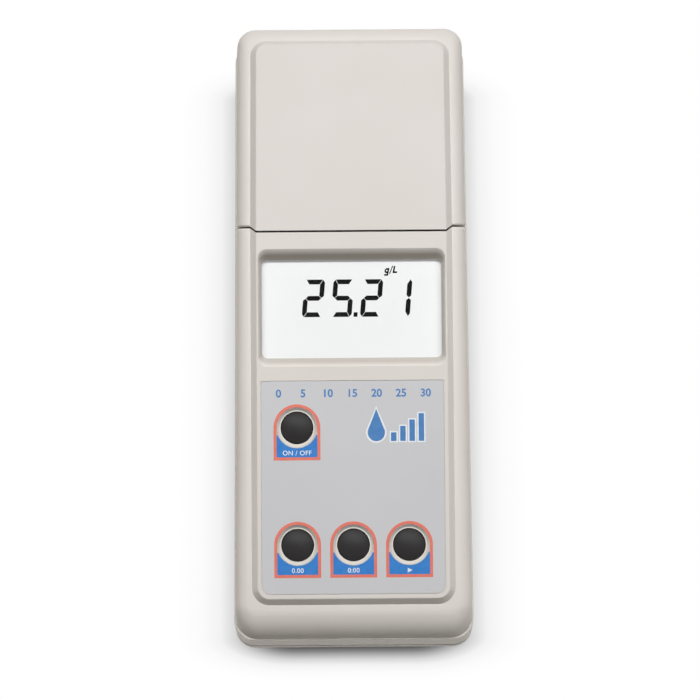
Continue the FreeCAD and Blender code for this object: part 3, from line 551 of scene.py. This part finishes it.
def makeKey(name):
    x, up = keyPlaces[name]
    low, top = (reach / mm for reach in span(name, faceOut))
    left, right = span(name, faceAcross)
    flange = (right - left) / 2 / mm
    dome, flangeThick, stem = (keyCap[k] for k in ("dome", "flangeThick", "stem"))
    levels = sorted({round(v.co.dot(faceOut) / mm, 3) for v in nodes[name].data.vertices})
    flangeTop = next(z for z in levels if z > low + keyCap["stemLeast"] + flangeThick)
    rim = top - dome
    radius = keyRadius(name, rim)
    ball = (radius ** 2 + dome ** 2) / (2 * dome)
    bm = bmesh.new()
    crown = bm.verts.new((0, 0, top * mm))
    arc = bmesh.ops.spin(
        bm, geom=[crown], cent=(0, 0, (top - ball) * mm), axis=(0, 1, 0),
        angle=math.asin(radius / ball), steps=keyCap["domeSteps"])
    last = next(v for v in arc["geom_last"] if isinstance(v, bmesh.types.BMVert))
    below = [(radius, flangeTop), (flange, flangeTop), (flange, flangeTop - flangeThick),
             (stem, flangeTop - flangeThick), (stem, low), (0, low)]
    bm.edges.new((last, profile(bm, below)[0]))
    lathe(bm, bm.verts[:] + bm.edges[:], keyCap["steps"])
    corner = [e for e in bm.edges if all(abs(v.co.z - rim * mm) < 1e-6 for v in e.verts)]
    soften(bm, corner, keyCap["rimRound"], keyCap["rimSteps"])
    key = finishPiece(name.replace("_button", "Key"), bm, keyRubber, name,
                      onFace(x, up, 0), sharp=50)
    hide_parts(name)


for name in keyNames:
    makeKey(name)
print("keys made")


# keypad print

keyMark = dict(half=8.1, line=1.05, foot=11.3, ink=0.02, fieldTop=2.55, ring=7.03, ringClear=0.1, words=8.85,
               cap=1.65, spread=0.06, weight=0.02, arrowBack=0.8, arrowTip=1.2, steps=40)
keyWords = {"power_button": "ON / OFF", "left_button": "0.00", "middle_button": "0:00", "right_button": None}


# prints a piece on the label round one of the keys
def printAtKey(name, kind, bm, finish, drop=0.0, lift=0.0):
    x, up = keyPlaces[name]
    finishPiece(name.replace("_button", kind), bm, finish, "case",
                onFace(x, up - drop * mm, labelOut + lift * mm))


# closed line: half a circle over a square foot
def archLine(bm, half, foot, steps):
    right = bm.verts.new((half, 0, 0))
    bmesh.ops.spin(bm, geom=[right], cent=(0, 0, 0), axis=(0, 0, 1), angle=math.pi, steps=steps)
    linked = [right]
    while len(linked) < steps + 1:
        ahead = [e.other_vert(linked[-1]) for e in linked[-1].link_edges]
        linked.append(next(v for v in ahead if v not in linked))
    left = linked[-1]
    corners = [bm.verts.new((-half, -foot, 0)), bm.verts.new((half, -foot, 0))]
    edges = [bm.edges.get(pair) for pair in zip(linked, linked[1:])]
    edges += [bm.edges.new(pair) for pair in ((left, corners[0]), corners, (corners[1], right))]
    return edges


def makeArch(name):
    half, line, foot, ink = (keyMark[k] * mm for k in ("half", "line", "foot", "ink"))
    bm = bmesh.new()
    outer = archLine(bm, half, foot, keyMark["steps"])
    inner = archLine(bm, half - line, foot - line, keyMark["steps"])
    bmesh.ops.bridge_loops(bm, edges=outer + inner)
    pushFaces(bm, bm.faces[:], ink)
    bmesh.ops.recalc_face_normals(bm, faces=bm.faces)
    printAtKey(name, "Arch", bm, redInk)


# blue field under the ring, cut round at its top
def makeField(name):
    half = (keyMark["half"] - keyMark["line"]) * mm
    foot = (keyMark["foot"] - keyMark["line"]) * mm
    top = keyMark["fieldTop"] * mm
    ring = (keyMark["ring"] + keyMark["ringClear"]) * mm
    inner = math.sqrt(ring ** 2 - top ** 2)
    bm = bmesh.new()
    start = bm.verts.new((inner, -top, 0))
    sweep = math.pi - 2 * math.asin(top / ring)
    bmesh.ops.spin(bm, geom=[start], cent=(0, 0, 0), axis=(0, 0, 1), angle=-sweep, steps=keyMark["steps"])
    arc = sorted(bm.verts, key=lambda v: v.co.x)
    corners = ((half, -top, 0), (half, -foot, 0), (-half, -foot, 0), (-half, -top, 0))
    inkFilm(bm, arc + [bm.verts.new(p) for p in corners], keyMark["ink"] * mm)
    printAtKey(name, "Field", bm, blueInk)


def makeKeyWords(name):
    bm = bmesh.new()
    thick = keyMark["ink"] * mm
    if keyWords[name]:
        wordsMesh(bm, keyWords[name], keyMark["cap"] * mm, thick,
                  spread=keyMark["spread"], weight=keyMark["weight"] * mm)
    else:
        reach = keyMark["cap"] * mm / 2
        back, tip = -keyMark["arrowBack"] * reach, keyMark["arrowTip"] * reach
        inkFilm(bm, [bm.verts.new(p) for p in ((back, -reach, 0), (tip, 0, 0), (back, reach, 0))], thick)
    printAtKey(name, "Words", bm, whiteInk, drop=keyMark["words"], lift=keyMark["ink"])


for name in keyNames:
    makeArch(name)
    makeField(name)
    makeKeyWords(name)
print("key marks printed")

# a plain scale along the top of the label
scalePrint = dict(cap=2.7, drop=4.4, left=-25.6, right=25.4, numbers=(0, 5, 10, 15, 20, 25, 30), ink=0.02,
                  weight=0.09)


def makeScale():
    bm = bmesh.new()
    count = len(scalePrint["numbers"]) - 1
    step = (scalePrint["right"] - scalePrint["left"]) / count * mm
    for i, number in enumerate(scalePrint["numbers"]):
        word = bmesh.new()
        wordsMesh(word, str(number), scalePrint["cap"] * mm, scalePrint["ink"] * mm,
                  weight=scalePrint["weight"] * mm)
        bmesh.ops.translate(word, vec=(scalePrint["left"] * mm + i * step, 0, 0), verts=word.verts)
        addTo(bm, word)
    finishPiece("rangeScale", bm, headingInk, "case",
                onFace(0, labelBack - scalePrint["drop"] * mm, labelOut))


makeScale()

# drop and rising bars, with a white edge
dropPrint = dict(x=8.2, drop=16.6, sink=1.4, radius=3.0, tip=8.2, tipGrow=1.6, halo=0.6, barHalo=0.45,
                 ink=0.02, barLeft=14.2, barPitch=3.2, barWide=1.9, bars=(3.0, 5.2, 7.4, 9.6), low=-4.4,
                 steps=28)


# round below, drawn out to a point above
def dropVerts(bm, radius, tip, steps):
    lean = math.acos(radius / tip)
    upward = math.pi / 2
    start = bm.verts.new((radius * math.cos(upward - lean), radius * math.sin(upward - lean), 0))
    sweep = math.tau - 2 * lean
    bmesh.ops.spin(bm, geom=[start], cent=(0, 0, 0), axis=(0, 0, 1), angle=-sweep, steps=steps)
    verts = sorted(bm.verts, key=lambda v: (math.atan2(v.co.y, v.co.x) - upward) % math.tau)
    return verts + [bm.verts.new((0, tip, 0))]


def makeDrop(name, grow, finish, lift):
    size = dropPrint
    bm = bmesh.new()
    radius, tip = size["radius"] + grow, size["tip"] + size["tipGrow"] * grow
    inkFilm(bm, dropVerts(bm, radius * mm, tip * mm, size["steps"]), size["ink"] * mm)
    finishPiece(name, bm, finish, "case",
                onFace(size["x"] * mm, labelBack - (size["drop"] + size["sink"]) * mm, labelOut + lift * mm))


def makeBars(name, grow, finish, lift):
    size = dropPrint
    bm = bmesh.new()
    half = size["barWide"] / 2 + grow
    for i, tall in enumerate(size["bars"]):
        x = size["barLeft"] + i * size["barPitch"]
        low, high = size["low"] - grow, size["low"] + tall + grow
        corners = ((x - half, low), (x + half, low), (x + half, high), (x - half, high))
        inkFilm(bm, [bm.verts.new((a * mm, b * mm, 0)) for a, b in corners], size["ink"] * mm)
    finishPiece(name, bm, finish, "case",
                onFace(0, labelBack - size["drop"] * mm, labelOut + lift * mm))


makeDrop("dropHalo", dropPrint["halo"], whiteInk, 0)
makeDrop("dropMark", 0, headingInk, dropPrint["ink"])
makeBars("barHalo", dropPrint["barHalo"], whiteInk, 0)
makeBars("barMark", 0, headingInk, dropPrint["ink"])
print("label printed")

# seven-segment reading
digit = dict(wide=7.2, tall=13.1, thick=1.65, cut=1.1, tip=0.65, gap=0.1, lean=4.8, pitch=10.15, left=-17.45,
             foot=-2.7, ink=0.03, reading=("2", "5", "2", "1"), dotAfter=1, dotWide=1.35, dotTall=1.57,
             dotGap=0.7)
litSegments = {"1": "bc", "2": "abged", "5": "afgcd"}


# outline of one bar of a digit; left and lower bars are mirrored from the upper right and top ones
def segmentOutline(bar):
    wide, tall, thick, cut, tip, gap = (digit[k] for k in ("wide", "tall", "thick", "cut", "tip", "gap"))
    half, inner = tall / 2, wide - thick
    top = [(thick + gap, tall - thick), (tip + gap, tall),
           (wide - tip - gap, tall), (inner - gap, tall - thick)]
    upright = [(wide, tall - cut), (wide - tip, tall - gap), (inner, tall - thick - gap),
               (inner, half + thick / 2 + gap), (wide - thick / 2, half + gap), (wide, half + thick / 2)]
    across = [(thick / 2 + gap, half), (thick + gap, half + thick / 2), (inner - gap, half + thick / 2),
              (wide - thick / 2 - gap, half), (inner - gap, half - thick / 2),
              (thick + gap, half - thick / 2)]
    outline = {"a": top, "d": top, "g": across}.get(bar, upright)
    if bar in "fe":
        outline = [(wide - x, y) for x, y in outline]
    if bar in "dce":
        outline = [(x, tall - y) for x, y in outline]
    return outline


def makeReading():
    lean = math.tan(math.radians(digit["lean"]))
    bm = bmesh.new()

    def bar(outline, left):
        verts = [bm.verts.new(((left + x + y * lean) * mm, (digit["foot"] + y) * mm, 0)) for x, y in outline]
        inkFilm(bm, verts, digit["ink"] * mm)

    for i, figure in enumerate(digit["reading"]):
        left = digit["left"] + i * digit["pitch"]
        for name in litSegments[figure]:
            bar(segmentOutline(name), left)
        if i == digit["dotAfter"]:
            x = digit["wide"] + digit["dotGap"]
            far, tall = x + digit["dotWide"], digit["dotTall"]
            bar([(x, 0), (far, 0), (far, tall), (x, tall)], left)
    finishPiece("displayReading", bm, segmentInk, "case",
                onFace(0, displayUp, displayOut))


# unit beside the reading: a bowl and straight strokes, leaning like the figures
unitPrint = dict(
    x=13.6, up=12.5, lean=0.2, narrow=0.86, middle=2.55, ink=0.03, bowl=0.9, bowlLine=0.6, steps=32,
    strokes=dict(
        stem=((1.16, -0.3), (1.8, -0.3), (1.8, 1.8), (1.16, 1.8)),
        hook=((0.2, -0.88), (1.8, -0.88), (1.8, -0.3), (0.2, -0.3)),
        slash=((2.0, -0.3), (2.45, -0.3), (3.2, 2.6), (2.75, 2.6)),
        upright=((3.4, 0.0), (4.05, 0.0), (4.05, 2.5), (3.4, 2.5)),
        foot=((4.05, 0.0), (5.2, 0.0), (5.2, 0.62), (4.05, 0.62)),
    ),
)


def makeUnit():
    size = unitPrint
    bowl, ink = size["bowl"] * mm, size["ink"] * mm
    bm = bmesh.new()
    for radius in (bowl, bowl - size["bowlLine"] * mm):
        bmesh.ops.create_circle(bm, segments=size["steps"], radius=radius)
    bmesh.ops.bridge_loops(bm, edges=bm.edges[:])
    pushFaces(bm, bm.faces[:], ink)
    bmesh.ops.translate(bm, vec=(bowl, bowl, 0), verts=bm.verts)
    for corners in size["strokes"].values():
        inkFilm(bm, [bm.verts.new((x * mm, y * mm, 0)) for x, y in corners], ink)
    slant = Matrix.Identity(4)
    slant[0][0] = size["narrow"]
    slant[0][1] = size["lean"]
    slant[0][3] = -size["middle"] * size["narrow"] * mm
    bmesh.ops.transform(bm, matrix=slant, verts=bm.verts)
    finishPiece("displayUnit", bm, segmentInk, "case",
                onFace(size["x"] * mm, displayUp + size["up"] * mm, displayOut))


makeReading()
makeUnit()
print("display reading made")

# centre and radius of each round solid of a node, sorted by quarter of the case
def roundCentres(node):
    quarters = {}
    for v in nodes[node].data.vertices:
        quarters.setdefault((v.co.x > 0, v.co.y > 0), []).append(v.co)
    found = []
    for points in quarters.values():
        xs = [p.x for p in points]
        ys = [p.y for p in points]
        centre = Vector(((min(xs) + max(xs)) / 2, (min(ys) + max(ys)) / 2, 0))
        found.append((centre, (max(xs) - min(xs)) / 2))
    return found


# edges that lie on a circle round Z at one height
def circleEdges(bm, radius, z):
    def onCircle(v):
        return abs(v.co.z - z) < 1e-7 and abs(v.co.xy.length - radius) < 1e-6
    return [e for e in bm.edges if all(onCircle(v) for v in e.verts)]


# rubber feet: turned, with a rounded sole edge and a shallow dimple
footShape = dict(round=0.5, roundSteps=4, dimple=2.6, dimpleDepth=0.4, steps=48)


def makeFeet():
    low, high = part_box("feet")
    tall = (high.z - low.z) / mm
    dimple, deep = footShape["dimple"], footShape["dimpleDepth"]
    bm = bmesh.new()
    for centre, radius in roundCentres("feet"):
        foot = bmesh.new()
        edge = radius / mm
        profile(foot, [(0, deep), (dimple, deep), (dimple + deep, 0), (edge, 0), (edge, tall), (0, tall)])
        lathe(foot, foot.verts[:] + foot.edges[:], footShape["steps"])
        soften(foot, circleEdges(foot, radius, 0), footShape["round"], footShape["roundSteps"])
        bmesh.ops.translate(foot, vec=(centre.x, centre.y, low.z), verts=foot.verts)
        addTo(bm, foot)
    piece = finishPiece("rubberFeet", bm, footRubber, "case")
    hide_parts("feet")


makeFeet()

# cross-head screws
screwHead = dict(steps=32, round=0.25, roundSteps=3, rim=0.9, slotReach=0.62, slotHalf=0.13, slotDepth=0.6)


# one screw at the origin, head upwards, with its seat at zero
def screwMesh(radius, tall, shank, length):
    screw = bmesh.new()
    outer = bmesh.ops.create_circle(screw, segments=screwHead["steps"], radius=radius)["verts"]
    bmesh.ops.translate(screw, vec=(0, 0, tall), verts=outer)
    reach, half = radius * screwHead["slotReach"], radius * screwHead["slotHalf"]
    cross = []
    for turn in range(4):
        quarter = Matrix.Rotation(turn * math.pi / 2, 3, "Z")
        for x, y in ((reach, -half), (reach, half), (half, half)):
            cross.append(screw.verts.new(quarter @ Vector((x, y, tall))))
    rim = [screw.edges.new(pair) for pair in zip(cross, cross[1:] + cross[:1])]
    ring = [e for e in screw.edges if e not in rim]
    bmesh.ops.bridge_loops(screw, edges=rim + ring)
    floor = screw.faces.new(cross)
    pushFaces(screw, [floor], -tall * screwHead["slotDepth"])
    bmesh.ops.delete(screw, geom=[floor], context="FACES_ONLY")
    side = bmesh.ops.extrude_edge_only(screw, edges=ring)
    bottom = [v for v in side["geom"] if isinstance(v, bmesh.types.BMVert)]
    bmesh.ops.translate(screw, vec=(0, 0, -tall), verts=bottom)
    base = screw.faces.new(bottom)
    bmesh.ops.inset_region(screw, faces=[base], thickness=radius - shank)
    pushFaces(screw, [base], -length)
    bmesh.ops.delete(screw, geom=[base], context="FACES_ONLY")
    bmesh.ops.recalc_face_normals(screw, faces=screw.faces)
    soften(screw, circleEdges(screw, radius, tall), screwHead["round"], screwHead["roundSteps"])
    return screw


def makeScrews(node, pieceName, headUp):
    low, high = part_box(node)
    bm = bmesh.new()
    for centre, radius in roundCentres(node):
        near = [(v.co.z, (v.co.xy - centre.xy).length) for v in nodes[node].data.vertices]
        near = [(z, away) for z, away in near if away < 2 * radius]
        wide = [z for z, away in near if away > screwHead["rim"] * radius]
        headLow, headHigh = min(wide), max(wide)
        tall = headHigh - headLow
        shank = max(round(away, 5) for z, away in near if not headLow <= z <= headHigh)
        screw = screwMesh(radius, tall, shank, high.z - low.z - tall)
        if not headUp:
            over = Matrix.Rotation(math.pi, 3, "X")
            bmesh.ops.rotate(screw, cent=(0, 0, 0), matrix=over, verts=screw.verts)
        seat = headLow if headUp else headHigh
        bmesh.ops.translate(screw, vec=(centre.x, centre.y, seat), verts=screw.verts)
        addTo(bm, screw)
    piece = finishPiece(pieceName, bm, steel, "case")
    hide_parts(node)


makeScrews("case_screws", "caseScrewSet", False)
makeScrews("deck_screws", "deckScrewSet", True)
print("feet and screws made")

# soft ring round the well
collarShape = dict(round=0.3, roundSteps=3, groove=0.45, steps=96)


def makeCollar():
    low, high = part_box("well_collar")
    centre = (low + high) / 2
    outer = (high.x - low.x) / 2 / mm
    gaps = [(v.co.xy - centre.xy).length for v in nodes["well_collar"].data.vertices]
    inner = min(gaps) / mm
    tall = (high.z - low.z) / mm
    groove = collarShape["groove"]
    mid = (inner + outer) / 2
    points = [(inner, 0), (outer, 0), (outer, tall), (mid + groove, tall), (mid, tall - groove),
              (mid - groove, tall), (inner, tall)]
    bm = bmesh.new()
    verts = profile(bm, points)
    bm.edges.new((verts[-1], verts[0]))
    lathe(bm, bm.verts[:] + bm.edges[:], collarShape["steps"])
    top = [e for e in bm.edges if all(abs(v.co.z - tall * mm) < 1e-7 for v in e.verts)
           and abs(e.verts[0].co.xy.length - e.verts[1].co.xy.length) < 1e-7]
    soften(bm, top, collarShape["round"], collarShape["roundSteps"])
    bmesh.ops.translate(bm, vec=(centre.x, centre.y, low.z), verts=bm.verts)
    piece = finishPiece("wellCollar", bm, footRubber, "case")
    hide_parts("well_collar")


makeCollar()

# foam sheet stuck inside the lid, with soft corners and lower edges
foamShape = dict(corner=4.0, cornerSteps=6, edge=0.8, edgeSteps=4, under=0.49, fill=0.9)


def makeFoamPad():
    low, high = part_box("lid_foam")
    size = high - low
    bm = bmesh.new()
    bmesh.ops.create_cube(bm, size=1.0)
    bmesh.ops.scale(bm, vec=size, verts=bm.verts)
    upright = [e for e in bm.edges if abs(e.verts[0].co.z - e.verts[1].co.z) > size.z / 2]
    soften(bm, upright, foamShape["corner"], foamShape["cornerSteps"])
    under = [e for e in bm.edges if all(v.co.z < -size.z * foamShape["under"] for v in e.verts)]
    soften(bm, under, foamShape["edge"], foamShape["edgeSteps"])
    bmesh.ops.translate(bm, vec=(low + high) / 2, verts=bm.verts)
    piece = finishPiece("lidFoamPad", bm, lidFoam, "lid")
    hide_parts("lid_foam")


makeFoamPad()
print("collar and foam made")

# stage

# rays that see the plain white surroundings: from the camera, in gloss and through clear pieces
def backdropRays(tree):
    path = addNode(tree, "ShaderNodeLightPath", (-760, 420))
    gloss = addNode(tree, "ShaderNodeMath", (-560, 420), operation="MAXIMUM")
    seen = addNode(tree, "ShaderNodeMath", (-380, 420), operation="MAXIMUM")
    tree.links.new(path.outputs["Is Camera Ray"], gloss.inputs[0])
    tree.links.new(path.outputs["Is Glossy Ray"], gloss.inputs[1])
    tree.links.new(gloss.outputs[0], seen.inputs[0])
    tree.links.new(path.outputs["Is Transmission Ray"], seen.inputs[1])
    return seen.outputs[0]


# shade: levels of the painted contact shadow by distance from the case's outline, in mm
floorLook = dict(
    reach=3.0, colour=(0.80, 0.77, 0.72, 1.0), sideways=0.38, corner=8.0, inside=6.0, outside=12.0, open=2.0,
    shade=((-4.0, 0.10), (-2.5, 0.24), (-1.0, 0.46), (0.4, 0.67), (2.5, 0.89), (5.0, 0.965), (8.5, 1.0)),
)


# white floor: the camera sees it plain white, with a painted contact shadow close to the case's outline;
# it is clear from below, and lets light up to the underside inside the outline
def makeFloor():
    bm = bmesh.new()
    bmesh.ops.create_grid(bm, x_segments=1, y_segments=1, size=floorLook["reach"])
    mesh = bpy.data.meshes.new("floor")
    bm.to_mesh(mesh)
    bm.free()
    floor = bpy.data.objects.new("floor", mesh)
    bpy.context.scene.collection.objects.link(floor)
    material = bpy.data.materials.new("floorWhite")
    material.use_nodes = True
    tree = material.node_tree
    tree.nodes.clear()
    squeeze = floorLook["sideways"]
    coords = addNode(tree, "ShaderNodeTexCoord", (-1140, -60))
    lay = addNode(tree, "ShaderNodeMapping", (-940, -60))
    lay.inputs["Scale"].default_value = (squeeze, 1, 1)
    gap = placeGroup(tree, outlineGap, (-740, -60), Half=(cadBox[1][0] * squeeze, cadBox[1][1], 0))
    gap.inputs["Round"].default_value = floorLook["corner"] * mm
    along = addNode(tree, "ShaderNodeMapRange", (-540, -60))
    along.inputs["From Min"].default_value = -floorLook["inside"] * mm
    along.inputs["From Max"].default_value = floorLook["outside"] * mm
    # the ramp paints the contact shadow, darker nearer the outline
    ramp = addNode(tree, "ShaderNodeValToRGB", (-360, -60))
    stops = ramp.color_ramp.elements
    while len(stops) < len(floorLook["shade"]):
        stops.new(0.5)
    for stop, (away, level) in zip(stops, floorLook["shade"]):
        stop.position = (away + floorLook["inside"]) / (floorLook["inside"] + floorLook["outside"])
        stop.color = (level, level, level, 1)
    plain = addNode(tree, "ShaderNodeBsdfDiffuse", (-40, 0), Color=floorLook["colour"])
    white = addNode(tree, "ShaderNodeEmission", (-40, -160), Strength=1.0)
    clear = addNode(tree, "ShaderNodeBsdfTransparent", (-40, 140))
    under = addNode(tree, "ShaderNodeMath", (-360, 120), operation="LESS_THAN")
    under.inputs[1].default_value = -floorLook["open"] * mm
    turned = addNode(tree, "ShaderNodeNewGeometry", (-360, -340))
    lit = addNode(tree, "ShaderNodeMixShader", (180, 60))
    seen = addNode(tree, "ShaderNodeMixShader", (180, -140))
    mix = addNode(tree, "ShaderNodeMixShader", (400, 100))
    out = addNode(tree, "ShaderNodeOutputMaterial", (600, 100))
    join = tree.links.new
    join(coords.outputs["Object"], lay.inputs["Vector"])
    join(lay.outputs["Vector"], gap.inputs["Vector"])
    join(gap.outputs["Gap"], along.inputs["Value"])
    join(along.outputs["Result"], ramp.inputs["Fac"])
    join(ramp.outputs["Color"], white.inputs["Color"])
    join(gap.outputs["Gap"], under.inputs[0])
    join(under.outputs[0], lit.inputs[0])
    join(plain.outputs[0], lit.inputs[1])
    join(clear.outputs[0], lit.inputs[2])
    join(turned.outputs["Backfacing"], seen.inputs[0])
    join(white.outputs[0], seen.inputs[1])
    join(clear.outputs[0], seen.inputs[2])
    join(backdropRays(tree), mix.inputs[0])
    join(lit.outputs[0], mix.inputs[1])
    join(seen.outputs[0], mix.inputs[2])
    join(mix.outputs[0], out.inputs["Surface"])
    mesh.materials.append(material)


makeFloor()

# plain soft light: a broad panel overhead and a little behind, a weak fill from the sky,
# and more from under the floor, which reaches only the underside
keyLight = dict(power=18.7, wide=1.9, deep=0.3, place=(0.06, 0.36, 1.19), aim=(0.0, -0.02, 0.05))
skyLook = dict(above=0.03, below=0.8, horizon=-0.05)


def makeLights():
    data = bpy.data.lights.new("softPanel", "AREA")
    data.shape = "RECTANGLE"
    data.size = keyLight["wide"]
    data.size_y = keyLight["deep"]
    data.energy = keyLight["power"]
    panel = bpy.data.objects.new("softPanel", data)
    bpy.context.scene.collection.objects.link(panel)
    panel.location = keyLight["place"]
    toward = Vector(keyLight["aim"]) - panel.location
    panel.rotation_euler = toward.to_track_quat("-Z", "Y").to_euler()
    panel.visible_camera = False
    world = bpy.data.worlds.new("studio")
    bpy.context.scene.world = world
    world.use_nodes = True
    tree = world.node_tree
    tree.nodes.clear()
    toSky = addNode(tree, "ShaderNodeTexCoord", (-1000, -60))
    parts = addNode(tree, "ShaderNodeSeparateXYZ", (-800, -60))
    level = addNode(tree, "ShaderNodeMapRange", (-600, -60), From_Min=skyLook["horizon"], From_Max=0.0)
    level.inputs["To Min"].default_value = skyLook["below"]
    level.inputs["To Max"].default_value = skyLook["above"]
    fill = addNode(tree, "ShaderNodeBackground", (-200, 60))
    white = addNode(tree, "ShaderNodeBackground", (-200, -80), Strength=1.0)
    for node in (fill, white):
        node.inputs["Color"].default_value = (1, 1, 1, 1)
    mix = addNode(tree, "ShaderNodeMixShader", (40, 100))
    out = addNode(tree, "ShaderNodeOutputWorld", (240, 100))
    join = tree.links.new
    join(toSky.outputs["Generated"], parts.inputs[0])
    join(parts.outputs["Z"], level.inputs["Value"])
    join(level.outputs["Result"], fill.inputs["Strength"])
    join(backdropRays(tree), mix.inputs[0])
    join(fill.outputs[0], mix.inputs[1])
    join(white.outputs[0], mix.inputs[2])
    join(mix.outputs[0], out.inputs["Surface"])


makeLights()

# camera above the front, tipped a little from straight down
cameraView = dict(lens=154.286, sensor=36.0, nearest=0.01, farthest=20.0,
                  place=(-3.21, -282.46, 1072.59), tilt=14.998, yaw=-0.138, roll=-0.432)


def makeCamera():
    data = bpy.data.cameras.new("camera")
    data.lens = cameraView["lens"]
    data.sensor_width = cameraView["sensor"]
    data.clip_start = cameraView["nearest"]
    data.clip_end = cameraView["farthest"]
    camera = bpy.data.objects.new("camera", data)
    bpy.context.scene.collection.objects.link(camera)
    tilt, yaw, roll = (Matrix.Rotation(math.radians(cameraView[k]), 4, axis)
                       for k, axis in (("tilt", "X"), ("yaw", "Y"), ("roll", "Z")))
    camera.matrix_world = Matrix.Translation(Vector(cameraView["place"]) * mm) @ tilt @ yaw @ roll
    bpy.context.scene.camera = camera


makeCamera()
bpy.context.scene.view_settings.view_transform = "Standard"
print("stage set")
